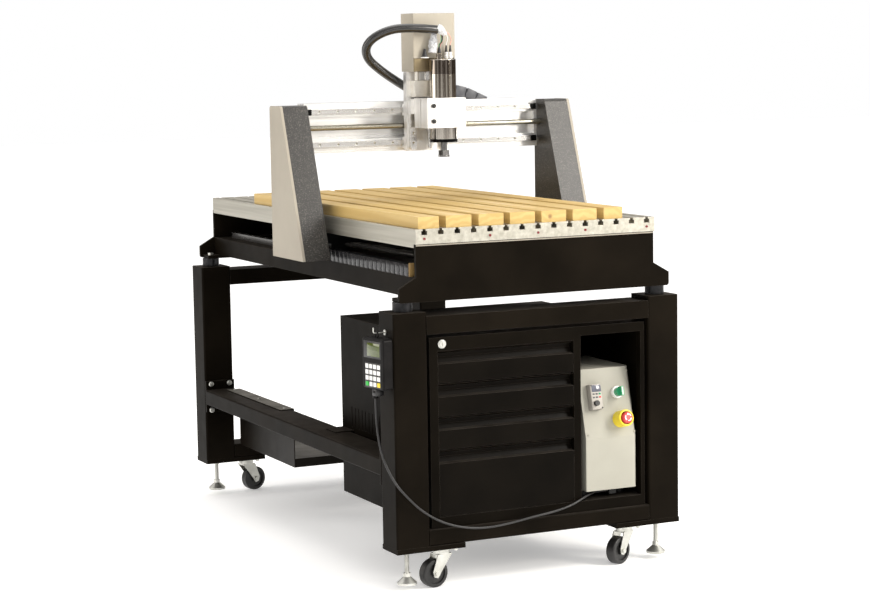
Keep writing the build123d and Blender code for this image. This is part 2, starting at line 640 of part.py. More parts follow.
def x_motor():
    """The motor inside the right upright, and the bearings in both uprights' walls."""
    y, z = X_SCREW
    motor = block((430.4, 472), (y - 25, y + 25), (z - 25, z + 25))
    motor = chamfer(motor.edges().filter_by(Axis.X), 4)
    bearing = ring(10, X_SCREW_R + 0.05, (UPRIGHT_X[0], y, z), (UPRIGHT_X[0] + 5, y, z))
    return group([motor] + both_sides(bearing))


# ---------------------------------------------------------------- cross carriage
def x_carriage():
    """Carriage plate with its rail blocks and nut, and the bracket of the cable chain."""
    plate = block(CARRIAGE_X, CARRIAGE_Y, CARRIAGE_Z)
    plate = fillet(plate.edges().filter_by(Axis.Y), 4)
    solids = [plate]
    back = CARRIAGE_Y[1]
    for z in X_RAIL_Z:
        for x in ((-68, -16), (8, 60)):
            carrier = block(x, (back, BEAM_Y[0] - 4), (z - 17, z + 17))
            half = RAIL_W / 2 + 0.4
            carrier -= block(x, (BEAM_Y[0] - RAIL_W - 0.4, BEAM_Y[0]), (z - half, z + half))
            solids.append(carrier)
    y, z = X_SCREW
    nut = block((-34, 26), (back, -66), (z - 22, z + 22))
    solids.append(nut - rod(X_SCREW_R + 0.05, (-40, y, z), (30, y, z)))
    chain_floor = CHAIN_LINE - CHAIN_HALF
    shelf = block((20, 110), (back, CHAIN_Y[1]), (chain_floor - 7.5, chain_floor - 3.5))
    solids.append(shelf + block((72, 110), CHAIN_Y, (chain_floor - 3.5, chain_floor)))
    return group(solids)


def x_chain():
    """The cable chain: it leaves the carriage to the right, droops and comes back behind the beam."""
    start, straight, slope = 70.0, 120.0, 60.0
    droop, tight, turn = 190.0, 58.0, 25.0
    sine, cosine = math.sin(math.radians(turn)), math.cos(math.radians(turn))
    bend = (straight + droop * sine, CHAIN_LINE - droop * (1 - cosine))
    drop = (bend[0] + slope * cosine, bend[1] - slope * sine)
    hub = (drop[0] - tight * sine, drop[1] - tight * cosine)
    low = hub[1] - tight
    pieces = Line((start, CHAIN_LINE), (straight, CHAIN_LINE))
    pieces += CenterArc((straight, CHAIN_LINE - droop), droop, 90, -turn)
    pieces += Line(bend, drop)
    pieces += CenterArc(hub, tight, 90 - turn, -(180 - turn))
    pieces += Line((hub[0], low), (-60, low))
    path = Plane.XZ.offset(-(CHAIN_Y[0] + CHAIN_Y[1]) / 2) * Wire(pieces.edges())
    start_plane = Plane(origin=path @ 0, x_dir=(0, 1, 0), z_dir=path % 0)
    return sweep(start_plane * Rectangle(CHAIN_Y[1] - CHAIN_Y[0], 2 * CHAIN_HALF), path=path)


def z_motor_cover():
    cover = block(COVER_X, COVER_Y, COVER_Z)
    wall = 2.0
    upright = cover.edges().filter_by(Axis.Z)
    cover = fillet(upright, 3)
    inside_y = (COVER_Y[0] + wall, COVER_Y[1] - wall)
    cover -= block((COVER_X[0] + wall, COVER_X[1] - wall), inside_y, (COVER_Z[0], COVER_Z[1] - wall))
    return cover - block(COVER_X, (COVER_Y[0], COVER_Y[0] + 4), (COVER_Z[0], COVER_FRONT_Z))


def z_drive():
    """The motor over the vertical screw, its mount, the pillars and the bearing block."""
    x, y = Z_SCREW
    front = SPINDLE[1] + SPINDLE_R + 0.5
    mount = block((-58, 50), (front, CARRIAGE_Y[1]), (CARRIAGE_Z[1], COVER_FRONT_Z))
    mount -= rod(8, (x, y, CARRIAGE_Z[1]), (x, y, COVER_FRONT_Z))
    bearing = block((-58, 50), (front, CARRIAGE_Y[0]), (1346, 1395))
    bearing -= rod(Z_SCREW_R + 0.05, (x, y, 1340), (x, y, 1400))
    motor = block((x - 28.5, x + 28.5), (y - 28.5, y + 28.5), (COVER_FRONT_Z, 1570))
    solids = [mount, bearing, chamfer(motor.edges().filter_by(Axis.Z), 5)]
    for px in (-46, 38):
        solids.append(rod(6, (px, -132, 1395), (px, -132, CARRIAGE_Z[1])))
    return group(solids)


def z_rails():
    """Two vertical guide rails with rounded lower ends."""
    solids = []
    for x in Z_RAIL_X:
        rail = block((x - 10, x + 10), (-124, CARRIAGE_Y[0]), (1186, 1344))
        low = rail.edges().filter_by(Axis.Y).filter_by_position(Axis.Z, 1185, 1187)
        solids.append(fillet(low, 9.5))
    return group(solids)


def z_screw():
    x, y = Z_SCREW
    return rod(Z_SCREW_R, (x, y, 1190), (x, y, 1461.5)) + rod(15, (x, y, 1397), (x, y, 1420))


# ---------------------------------------------------------------- spindle slide
def spindle_clamp():
    """The split clamp with its two screws, and the blocks and nut behind it."""
    sx, sy = SPINDLE
    clamp = block(CLAMP_X, CLAMP_Y, CLAMP_Z)
    clamp = fillet(clamp.edges().filter_by(Axis.Z), 2)
    clamp -= rod(SPINDLE_R, (sx, sy, CLAMP_Z[0]), (sx, sy, CLAMP_Z[1]))
    clamp -= block((CLAMP_X[0], sx - SPINDLE_R + 5), (sy - 1.5, sy + 1.5), CLAMP_Z)
    solids = [clamp]
    for z in (1273.5, 1319.5):
        screw = rod(6, (-37.5, CLAMP_Y[0], z), (-37.5, CLAMP_Y[0] - 5, z))
        solids.append(screw - rod(3, (-37.5, CLAMP_Y[0] - 2, z), (-37.5, CLAMP_Y[0] - 6, z)))
    behind = (CLAMP_Y[1], -113.0)
    for x in Z_RAIL_X:
        carrier = block((x - 14, x + 14), behind, (1294, 1340))
        solids.append(carrier - block((x - 10.4, x + 10.4), (-124.4, -110), (1294, 1340)))
    x, y = Z_SCREW
    nut = block((x - 20, x + 20), behind, (1304, 1340))
    solids.append(nut - rod(Z_SCREW_R + 0.05, (x, y, 1300), (x, y, 1345)))
    return group(solids)


def spindle_body():
    x, y = SPINDLE
    body = rod(SPINDLE_R, (x, y, 1212), (x, y, 1459))
    body = fillet(body.edges().filter_by(GeomType.CIRCLE).sort_by(Axis.Z)[-1], 3)
    body += rod(42.5, (x, y, 1209), (x, y, 1218))
    body += rod(10, (x - 10, y, 1459), (x - 10, y, 1476))
    for px, py in ((x + 20, y - 14), (x + 20, y + 14)):
        body += rod(5, (px, py, 1459), (px, py, 1478))
    return body


def spindle_nose():
    """The turning nose and its collet nut."""
    x, y = SPINDLE
    nose = rod(10, (x, y, 1184), (x, y, 1208.7))
    nose += rod(17.5, (x, y, 1170), (x, y, 1184)) & hexagon(32, (x, y, 1164), 30)
    nose += rod(17.5, (x, y, 1164), (x, y, 1170))
    return nose - rod(3, (x, y, 1160), (x, y, 1190))


def cable_conduit():
    return tube_along(HOSE_ROUTE, HOSE_R, "cable_conduit")


# ---------------------------------------------------------------- writing the parts
PARTS = {
    "stand_legs": stand_legs, "stand_rails": stand_rails, "fasteners": fasteners,
    "isolators": isolators, "caster_plates": caster_plates, "base_end_plates": base_end_plates,
    "base_rails": base_rails, "y_rails": y_rails, "y_screw_drive": y_screw_drive,
    "y_screw": y_screw, "y_chain": y_chain, "bed_plate": bed_plate,
    "spoilboard_slats": spoilboard_slats, "cabinet_shell": cabinet_shell,
    "drawer_lock": drawer_lock, "rear_tray": rear_tray, "control_box": control_box,
    "inverter": inverter, "inverter_knob": inverter_knob, "switch_bezel": switch_bezel,
    "rotary_switch": rotary_switch, "estop_collar": estop_collar, "estop_button": estop_button,
    "pendant_body": pendant_body, "pendant_keys": pendant_keys, "pendant_screen": pendant_screen,
    "pendant_cord": pendant_cord, "gantry_uprights": gantry_uprights,
    "upright_side_panels": upright_side_panels, "gantry_crossmember": gantry_crossmember,
    "gantry_beam": gantry_beam, "x_rails": x_rails, "x_screw": x_screw, "x_motor": x_motor,
    "x_carriage": x_carriage, "x_chain": x_chain, "z_motor_cover": z_motor_cover,
    "z_drive": z_drive, "z_rails": z_rails, "z_screw": z_screw, "spindle_clamp": spindle_clamp,
    "spindle_body": spindle_body, "spindle_nose": spindle_nose, "cable_conduit": cable_conduit,
}

os.makedirs("parts", exist_ok=True)
for name, make in PARTS.items():
    export_step(make(), f"parts/{name}.step")
for i, corner in enumerate(CORNER_NAMES):
    export_step(caster_fork(i), f"parts/caster_fork_{corner}.step")
    export_step(caster_wheel(i), f"parts/caster_wheel_{corner}.step")
    export_step(levelling_foot(i), f"parts/levelling_foot_{corner}.step")
for i in range(len(DRAWER_Z)):
    export_step(drawer(i), f"parts/drawer_{len(DRAWER_Z) - i}.step")
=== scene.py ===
import json
import math
import random

import bmesh
import bpy
from mathutils import Matrix, Vector


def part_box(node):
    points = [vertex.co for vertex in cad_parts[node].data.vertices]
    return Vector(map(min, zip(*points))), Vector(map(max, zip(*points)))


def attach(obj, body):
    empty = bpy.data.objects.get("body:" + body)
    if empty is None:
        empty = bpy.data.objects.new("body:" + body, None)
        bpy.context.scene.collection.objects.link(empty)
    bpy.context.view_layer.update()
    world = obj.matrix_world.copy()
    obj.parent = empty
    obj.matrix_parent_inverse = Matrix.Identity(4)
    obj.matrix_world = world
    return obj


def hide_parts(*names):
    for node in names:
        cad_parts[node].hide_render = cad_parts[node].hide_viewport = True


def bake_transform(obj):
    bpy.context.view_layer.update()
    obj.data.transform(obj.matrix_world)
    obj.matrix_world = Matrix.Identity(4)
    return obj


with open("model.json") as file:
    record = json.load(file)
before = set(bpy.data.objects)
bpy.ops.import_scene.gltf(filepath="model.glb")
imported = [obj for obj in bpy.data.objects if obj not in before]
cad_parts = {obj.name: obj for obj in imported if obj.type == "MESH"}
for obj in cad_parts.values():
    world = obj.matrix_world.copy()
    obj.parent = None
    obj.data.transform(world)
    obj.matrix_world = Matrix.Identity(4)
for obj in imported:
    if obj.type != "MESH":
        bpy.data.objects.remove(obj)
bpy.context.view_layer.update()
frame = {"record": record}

MM = 0.001
RAIL_SCREW_RISE = 0.00012
X_RAIL_FACE, Z_RAIL_FACE, Y_RAIL_TOP = -0.078, -0.124, 0.888
X_RAIL_LENGTH = 0.74


# ---------------------------------------------------------------- camera and light
def make_camera():
    """A long lens, low and to the left of the machine's front."""
    focal_px, frame_px, sensor = 2214.87, 870.0, 36.0
    azimuth, elevation, roll = (math.radians(a) for a in (-25.251, 6.4541, -0.9461))
    back = Vector((math.sin(azimuth) * math.cos(elevation), -math.cos(azimuth) * math.cos(elevation),
                   math.sin(elevation)))
    right = (-back).cross(Vector((0, 0, 1))).normalized()
    up = right.cross(-back)
    rolled_right = right * math.cos(roll) + up * math.sin(roll)
    rolled_up = up * math.cos(roll) - right * math.sin(roll)
    axes = (rolled_right, rolled_up, back)
    data = bpy.data.cameras.new("camera")
    data.sensor_width = sensor
    data.lens = focal_px * sensor / frame_px
    data.clip_end = 60
    camera = bpy.data.objects.new("camera", data)
    bpy.context.collection.objects.link(camera)
    turn = Matrix(axes).transposed().to_4x4()
    camera.matrix_world = Matrix.Translation((-2.8845, -6.2543, 1.488)) @ turn
    bpy.context.scene.camera = camera


def area_light(name, place, target, size, power, colour=(1, 1, 1)):
    data = bpy.data.lights.new(name, "AREA")
    data.shape = "RECTANGLE"
    data.size, data.size_y = size
    data.energy = power
    data.color = colour
    light = bpy.data.objects.new(name, data)
    bpy.context.collection.objects.link(light)
    aim = (Vector(target) - Vector(place)).to_track_quat("-Z", "Y")
    light.matrix_world = Matrix.Translation(place) @ aim.to_matrix().to_4x4()


def sky_light(strength):
    """An even, very soft light from straight above, so that the floor stays pale to its far edge."""
    data = bpy.data.lights.new("sky_light", "SUN")
    data.energy = strength
    data.angle = math.radians(150)
    light = bpy.data.objects.new("sky_light", data)
    bpy.context.collection.objects.link(light)


def make_world():
    """White for the camera; the metal mirrors a dim room with brown walls and bright panels."""
    world = bpy.data.worlds.new("studio")
    bpy.context.scene.world = world
    world.use_nodes = True
    tree = world.node_tree
    coord = tree.nodes.new("ShaderNodeTexCoord")
    panels = tree.nodes.new("ShaderNodeTexNoise")
    panels.inputs["Scale"].default_value = 2.1
    panels.inputs["Detail"].default_value = 0.0
    stretch = tree.nodes.new("ShaderNodeMapping")
    stretch.inputs["Scale"].default_value = (1.0, 1.0, 0.25)
    tree.links.new(coord.outputs["Generated"], stretch.inputs["Vector"])
    tree.links.new(stretch.outputs["Vector"], panels.inputs["Vector"])
    ramp = tree.nodes.new("ShaderNodeValToRGB")
    tree.links.new(panels.outputs["Fac"], ramp.inputs["Fac"])
    stops = [(0.40, (0.16, 0.125, 0.10)), (0.49, (0.34, 0.29, 0.24)), (0.53, (1.0, 0.98, 0.95))]
    ramp.color_ramp.elements.new(0.5)
    for element, (position, colour) in zip(ramp.color_ramp.elements, stops):
        element.position = position
        element.color = (*colour, 1)
    room = tree.nodes["Background"]
    room.inputs["Strength"].default_value = 0.62
    tree.links.new(ramp.outputs["Color"], room.inputs["Color"])
    backdrop = tree.nodes.new("ShaderNodeBackground")
    backdrop.inputs["Color"].default_value = (1, 1, 1, 1)
    path = tree.nodes.new("ShaderNodeLightPath")
    mix = tree.nodes.new("ShaderNodeMixShader")
    tree.links.new(path.outputs["Is Camera Ray"], mix.inputs[0])
    tree.links.new(room.outputs["Background"], mix.inputs[1])
    tree.links.new(backdrop.outputs["Background"], mix.inputs[2])
    tree.links.new(mix.outputs["Shader"], tree.nodes["World Output"].inputs["Surface"])


def make_studio():
    """Soft lights: the key and a panel stand right of the front, where the right upright mirrors them."""
    bpy.context.scene.view_settings.view_transform = "Standard"
    area_light("key_light", (2.5, -2.9, 3.1), (0.1, -0.3, 0.9), (1.3, 1.3), 100, (1.0, 0.96, 0.9))
    area_light("fill_light", (-1.6, -4.8, 2.6), (0, -0.5, 0.7), (2.4, 1.6), 43, (1.0, 0.98, 0.95))
    area_light("top_light", (0.0, 0.4, 4.4), (0, 0.1, 1.0), (3.0, 3.4), 48, (1.0, 0.98, 0.95))
    area_light("right_panel", (3.0, -4.3, 2.2), (0.45, -0.1, 1.1), (0.9, 1.3), 85, (1.0, 0.95, 0.86))
    sky_light(2.0)
    area_light("left_light", (-4.2, 1.6, 1.8), (-0.4, 0.2, 0.8), (2.2, 2.0), 46, (1.0, 0.94, 0.86))
    make_world()
    bm = bmesh.new()
    bmesh.ops.create_grid(bm, x_segments=1, y_segments=1, size=30)
    paint = Paint("floor_paint", rough=0.7, specular=0.2)
    paint.tint(paint.noise(0.7, 3), [(0.3, (0.93, 0.93, 0.93)), (0.7, (0.96, 0.96, 0.955))])
    paint.shader.inputs["Emission Color"].default_value = (1, 1, 1, 1)
    paint.shader.inputs["Emission Strength"].default_value = 0.3
    floor = mesh_object("floor", bm, paint.mat)


# ---------------------------------------------------------------- mesh helpers
def mesh_object(name, bm, material=None, smooth=True):
    mesh = bpy.data.meshes.new(name)
    bm.normal_update()
    bm.to_mesh(mesh)
    bm.free()
    piece = bpy.data.objects.new(name, mesh)
    bpy.context.collection.objects.link(piece)
    if material:
        mesh.materials.append(material)
    if smooth:
        for polygon in mesh.polygons:
            polygon.use_smooth = True
        mesh.set_sharp_from_angle(angle=math.radians(38))
    return piece


def add_slab(bm, size, centre=(0, 0, 0), bevel=0.0006, turn=None, segments=2):
    """A bevelled block added to a mesh; turn places it."""
    start = bmesh.ops.create_cube(bm, size=1)["verts"]
    bmesh.ops.scale(bm, vec=size, verts=start)
    bmesh.ops.translate(bm, vec=centre, verts=start)
    edges = list({e for v in start for e in v.link_edges})
    made = bmesh.ops.bevel(bm, geom=edges, offset=min(bevel, min(size) * 0.45), segments=segments,
                           affect="EDGES", profile=0.5, clamp_overlap=True)
    verts = list({v for f in made["faces"] for v in f.verts} | {v for v in start if v.is_valid})
    connected = set(verts)
    stack = list(verts)
    while stack:
        for edge in stack.pop().link_edges:
            for v in edge.verts:
                if v not in connected:
                    connected.add(v)
                    stack.append(v)
    if turn:
        bmesh.ops.transform(bm, matrix=turn, verts=list(connected))
    return list(connected)


def add_lathe(bm, profile, turn=None, steps=40):
    """A closed turned form about Z. The profile's (radius, height) points run from bottom to top."""
    rings = []
    for radius, height in profile:
        if radius < 1e-6:
            rings.append([bm.verts.new((0, 0, height))])
            continue
        angles = [2 * math.pi * i / steps for i in range(steps)]
        rings.append([bm.verts.new((radius * math.cos(a), radius * math.sin(a), height)) for a in angles])
    for low, high in zip(rings, rings[1:]):
        for i in range(steps):
            j = (i + 1) % steps
            corners = [low[i % len(low)], low[j % len(low)], high[j % len(high)], high[i % len(high)]]
            unique = list(dict.fromkeys(corners))
            if len(unique) > 2:
                bm.faces.new(unique)
    for end, flip in ((rings[0], True), (rings[-1], False)):
        if len(end) > 1:
            bm.faces.new(reversed(end) if flip else end)
    verts = [v for r in rings for v in r]
    if turn:
        bmesh.ops.transform(bm, matrix=turn, verts=verts)
    return verts


def facing(point, normal, across=(1, 0, 0)):
    """A matrix whose Z looks along normal at point, and whose X lies nearest to across."""
    z = Vector(normal).normalized()
    y = z.cross(Vector(across)).normalized()
    x = y.cross(z)
    return Matrix.Translation(point) @ Matrix((x, y, z)).transposed().to_4x4()


def spline_points(name, route, steps=12):
    """Points read from the smooth spline of a route."""
    curve = route_curve(name, route, 0.0, steps)
    mesh = bpy.data.meshes.new_from_object(curve)
    points = [v.co.copy() for v in mesh.vertices]
    bpy.data.objects.remove(curve)
    return points


def route_curve(name, route, radius, steps=10):
    data = bpy.data.curves.new(name, "CURVE")
    data.dimensions = "3D"
    spline = data.splines.new("NURBS")
    spline.points.add(len(route) - 1)
    for point, place in zip(spline.points, route):
        point.co = (place[0] * MM, place[1] * MM, place[2] * MM, 1)
    spline.order_u = 3
    spline.use_endpoint_u = True
    spline.resolution_u = steps
    data.bevel_depth = radius
    data.bevel_resolution = 5
    data.use_fill_caps = True
    curve = bpy.data.objects.new(name, data)
    bpy.context.collection.objects.link(curve)
    return curve


# ---------------------------------------------------------------- materials
class Paint:
    """A node material: colour, roughness and bump all come from procedural textures."""

    def __init__(self, name, rough=0.5, metal=0.0, coat=0.0, specular=0.5):
        self.mat = bpy.data.materials.new(name)
        self.mat.use_nodes = True
        self.tree = self.mat.node_tree
        self.shader = self.tree.nodes["Principled BSDF"]
        self.shader.inputs["Metallic"].default_value = metal
        self.shader.inputs["Roughness"].default_value = rough
        self.shader.inputs["Coat Weight"].default_value = coat
        self.shader.inputs["Specular IOR Level"].default_value = specular
        self.coord = self.tree.nodes.new("ShaderNodeTexCoord")
        self.last_bump = None

    def node(self, kind, inputs=(), **settings):
        made = self.tree.nodes.new(kind)
        for key, value in settings.items():
            setattr(made, key, value)
        for key, value in dict(inputs).items():
            if isinstance(value, bpy.types.NodeSocket):
                self.tree.links.new(value, made.inputs[key])
            else:
                made.inputs[key].default_value = value
        return made

    def place(self, stretch=(1, 1, 1), turn=(0, 0, 0)):
        mapping = self.node("ShaderNodeMapping", {"Scale": stretch, "Rotation": turn})
        self.tree.links.new(self.coord.outputs["Object"], mapping.inputs["Vector"])
        return mapping.outputs["Vector"]

    def noise(self, scale, detail=3.0, stretch=(1, 1, 1), distortion=0.0):
        inputs = {"Vector": self.place(stretch), "Scale": scale, "Detail": detail, "Distortion": distortion}
        return self.node("ShaderNodeTexNoise", inputs).outputs["Fac"]

    def cells(self, scale, stretch=(1, 1, 1)):
        inputs = {"Vector": self.place(stretch), "Scale": scale}
        return self.node("ShaderNodeTexVoronoi", inputs, feature="SMOOTH_F1").outputs["Distance"]

    def ramp(self, fac, stops):
        made = self.node("ShaderNodeValToRGB", {"Fac": fac})
        elements = made.color_ramp.elements
        while len(elements) < len(stops):
            elements.new(0.5)
        for element, (position, colour) in zip(elements, stops):
            element.position = position
            element.color = (*colour, 1)
        return made.outputs["Color"]

    def math(self, operation, first, second=0.0):
        return self.node("ShaderNodeMath", {0: first, 1: second}, operation=operation).outputs[0]

    def mix(self, fac, first, second):
        made = self.node("ShaderNodeMix", data_type="RGBA")
        for key, value in ((0, fac), (6, first), (7, second)):
            if isinstance(value, bpy.types.NodeSocket):
                self.tree.links.new(value, made.inputs[key])
            else:
                made.inputs[key].default_value = value if key == 0 else (*value, 1)
        return made.outputs[2]

    def colour(self, socket):
        self.tree.links.new(socket, self.shader.inputs["Base Color"])
        self.base = socket
        return socket

    def tint(self, fac, stops):
        return self.colour(self.ramp(fac, stops))

    def rough(self, fac, low, high):
        spread = self.node("ShaderNodeMapRange", {"Value": fac, "To Min": low, "To Max": high})
        self.tree.links.new(spread.outputs["Result"], self.shader.inputs["Roughness"])

    def bump(self, height, strength, depth):
        inputs = {"Height": height, "Strength": strength, "Distance": depth}
        made = self.node("ShaderNodeBump", inputs)
        if self.last_bump:
            self.tree.links.new(self.last_bump, made.inputs["Normal"])
        self.last_bump = made.outputs["Normal"]
        self.tree.links.new(self.last_bump, self.shader.inputs["Normal"])

    def edges(self, radius):
        """Rounds the sharp edges in the shading, and gives a mask that is 1 along them."""
        rounded = self.node("ShaderNodeBevel", {"Radius": radius}, samples=4)
        true = self.node("ShaderNodeNewGeometry").outputs["True Normal"]
        agree = self.node("ShaderNodeVectorMath", {0: rounded.outputs["Normal"], 1: true},
                          operation="DOT_PRODUCT").outputs["Value"]
        self.last_bump = rounded.outputs["Normal"]
        self.tree.links.new(self.last_bump, self.shader.inputs["Normal"])
        spread = self.node("ShaderNodeMapRange", {"Value": agree, "From Min": 0.985, "From Max": 0.86})
        return spread.outputs["Result"]

    def upward(self, low=0.6, high=0.95):
        """1 on faces that look up, 0 on the others."""
        normal = self.node("ShaderNodeSeparateXYZ", {"Vector": self.coord.outputs["Normal"]})
        spread = self.node("ShaderNodeMapRange", {"Value": normal.outputs["Z"], "From Min": low,
                                                  "From Max": high})
        return spread.outputs["Result"]

    def between(self, axis, low, high):
        """1 where the part's own X, Y or Z lies between two values."""
        place = self.node("ShaderNodeSeparateXYZ", {"Vector": self.coord.outputs["Object"]})
        above = self.math("GREATER_THAN", place.outputs[axis], low)
        below = self.math("LESS_THAN", place.outputs[axis], high)
        return self.math("MULTIPLY", above, below)


def enamel(name, dark, light, worn=(0.16, 0.14, 0.12), wear=0.3, dust_and_sheen=(0.16, 0.14, 0.12),
           dust_and_sheen_amount=0.25, rough=(0.30, 0.46), specular=0.25):
    """Stoved enamel with fine orange peel, faint blotches and rubbed edges; faces that look up are paler,
    partly dusty and partly a painted sheen of the light from above.
    """
    paint = Paint(name, specular=specular)
    edge = paint.edges(0.0012)
    body = paint.ramp(paint.noise(5, 4), [(0.35, dark), (0.68, light)])
    rubbed = paint.math("MULTIPLY", edge, paint.math("MULTIPLY", paint.noise(38, 5), wear * 2))
    body = paint.mix(rubbed, body, worn)
    # Paler tops: part dirt, part painted sheen where the light from above falls on them.
    dust_and_sheen_mask = paint.math("MULTIPLY", paint.upward(), paint.noise(14, 6))
    paint.colour(paint.mix(paint.math("MULTIPLY", dust_and_sheen_mask, dust_and_sheen_amount), body, dust_and_sheen))
    paint.rough(paint.noise(22, 5), *rough)
    paint.bump(paint.noise(420, 2), 0.10, 0.0006)
    return paint


def hammertone(name, dark, light, fleck):
    """Textured powder coat: a coarse grain with pale flecks."""
    paint = Paint(name, specular=0.5)
    edge = paint.edges(0.0015)
    grain = paint.noise(520, 3)
    body = paint.ramp(paint.noise(260, 4), [(0.40, dark), (0.62, light)])
    specks = paint.ramp(paint.cells(330), [(0.16, (1, 1, 1)), (0.30, (0, 0, 0))])
    body = paint.mix(paint.math("MULTIPLY", specks, 0.55), body, fleck)
    paint.colour(paint.mix(paint.math("MULTIPLY", edge, 0.25), body, fleck))
    paint.rough(grain, 0.28, 0.48)
    paint.bump(grain, 0.5, 0.0008)
    return paint


def metal(name, dark, light, rough=(0.22, 0.4), stretch=(1, 1, 1), grain=60, bump=0.06, level=0.85):
    """Bare metal whose drawing or grinding lines run along the axis with the small stretch."""
    paint = Paint(name, metal=level)
    edge = paint.edges(0.0006)
    lines = paint.noise(grain, 5, stretch)
    body = paint.ramp(lines, [(0.3, dark), (0.7, light)])
    paint.colour(paint.mix(paint.math("MULTIPLY", edge, 0.35), body, (0.95, 0.95, 0.94)))
    paint.rough(paint.noise(grain * 0.6, 4, stretch), *rough)
    paint.bump(lines, bump, 0.0004)
    return paint


def part_in(paint, axis, low, high, colour):
    """Gives one stretch of a part, between two heights or places, another colour."""
    paint.colour(paint.mix(paint.between(axis, low, high), paint.base, colour))
    return paint


def plastic(name, dark, light, rough=(0.3, 0.5), grain=700, bump=0.12, coat=0.0, specular=0.5):
    paint = Paint(name, coat=coat, specular=specular)
    paint.tint(paint.noise(30, 4), [(0.35, dark), (0.68, light)])
    paint.rough(paint.noise(60, 3), *rough)
    paint.bump(paint.noise(grain, 2), bump, 0.0004)
    return paint


def pine():
    """Planed pine: long wavy growth lines, a few knots and a soft sheen."""
    paint = Paint("pine", rough=0.5)
    warp = paint.noise(3.2, 3, (6, 0.5, 6))
    rings = paint.node("ShaderNodeTexWave", {
        "Vector": paint.place((9, 0.28, 9)), "Scale": 1.7, "Distortion": 9.0, "Detail": 3.0,
        "Detail Scale": 1.1}, wave_type="RINGS", rings_direction="Y").outputs["Fac"]
    grain = paint.ramp(rings, [(0.15, (0.56, 0.39, 0.14)), (0.7, (0.45, 0.29, 0.085))])
    board = paint.ramp(warp, [(0.3, (0.61, 0.44, 0.17)), (0.75, (0.52, 0.36, 0.125))])
    knots = paint.node("ShaderNodeTexVoronoi", {"Vector": paint.place((11, 2.3, 11)), "Scale": 1.0,
                                                "Randomness": 1.0}).outputs["Distance"]
    wood = paint.mix(0.5, board, grain)
    spot = paint.ramp(knots, [(0.05, (1, 1, 1)), (0.11, (0, 0, 0))])
    paint.colour(paint.mix(spot, wood, (0.24, 0.12, 0.04)))
    paint.rough(rings, 0.42, 0.6)
    paint.bump(paint.noise(240, 3, (1, 0.04, 1)), 0.22, 0.0006)
    return paint


def metals():
    """Bare metals: extrusions drawn along their length, ground rails, plated and polished steel."""
    made = {
        "bed_aluminium": metal("bed_aluminium", (0.40, 0.38, 0.32), (0.57, 0.55, 0.48), (0.3, 0.45),
                               (1, 0.02, 1), 90),
        "beam_aluminium": metal("beam_aluminium", (0.80, 0.80, 0.79), (0.95, 0.95, 0.94), (0.22, 0.36),
                                (0.02, 1, 1), 90, level=0.7),
        "milled_aluminium": metal("milled_aluminium", (0.80, 0.79, 0.77), (0.94, 0.93, 0.91),
                                  (0.24, 0.4), (1, 1, 0.06), 70, level=0.7),
        "ground_steel": metal("ground_steel", (0.56, 0.55, 0.53), (0.80, 0.79, 0.77), (0.14, 0.28),
                              (0.03, 1, 1), 80),
        "zinc": metal("zinc", (0.46, 0.46, 0.42), (0.70, 0.70, 0.66), (0.22, 0.42), grain=26),
        "isolator_grey": metal("isolator_grey", (0.014, 0.014, 0.015), (0.034, 0.034, 0.036), (0.26, 0.42)),
        "screw_steel": metal("screw_steel", (0.22, 0.21, 0.17), (0.36, 0.34, 0.28), (0.18, 0.32),
                             (0.05, 1, 1), 80),
        # rail_steel is painted shade: the Y rails' steel is made dark for the shade under the bed.
        "rail_steel": metal("rail_steel", (0.10, 0.098, 0.094), (0.20, 0.195, 0.19), (0.2, 0.36),
                            (1, 0.03, 1), 80),
        "brass": metal("brass", (0.62, 0.46, 0.18), (0.80, 0.62, 0.30), (0.2, 0.35), grain=90),
    }
    made["x_rail_steel"] = metal("x_rail_steel", (0.56, 0.55, 0.53), (0.84, 0.83, 0.81), (0.12, 0.26),
                                 (0.03, 1, 1), 80)
    for low, high in ((-1, -0.3715), (0.3715, 1)):
        part_in(made["x_rail_steel"], 0, low, high, (0.012, 0.012, 0.012))
    made["nose_steel"] = metal("nose_steel", (0.10, 0.10, 0.10), (0.34, 0.33, 0.32), (0.1, 0.22),
                               (1, 1, 0.1), 80)
    sleeve = metal("spindle_sleeve", (0.40, 0.36, 0.31), (0.58, 0.54, 0.48), (0.05, 0.14),
                   (1, 1, 0.02), 110, 0.02, level=1.0)
    part_in(sleeve, 2, 1.414, 1.456, (0.22, 0.19, 0.165))
    made["spindle_sleeve"] = part_in(sleeve, 2, 1.200, 1.2185, (0.010, 0.010, 0.010))
    drive = metal("z_drive_aluminium", (0.70, 0.67, 0.60), (0.84, 0.81, 0.75), (0.3, 0.45), grain=60)
    # The tan band on the motor mount block is painted shade: its aluminium darkened to tan for the shadow
    # it sits in.
    made["z_drive_aluminium"] = part_in(drive, 2, 1.4219, 1.4621, (0.42, 0.34, 0.21))
    part_in(drive, 2, 1.4622, 1.6, (0.02, 0.02, 0.02))
    return made


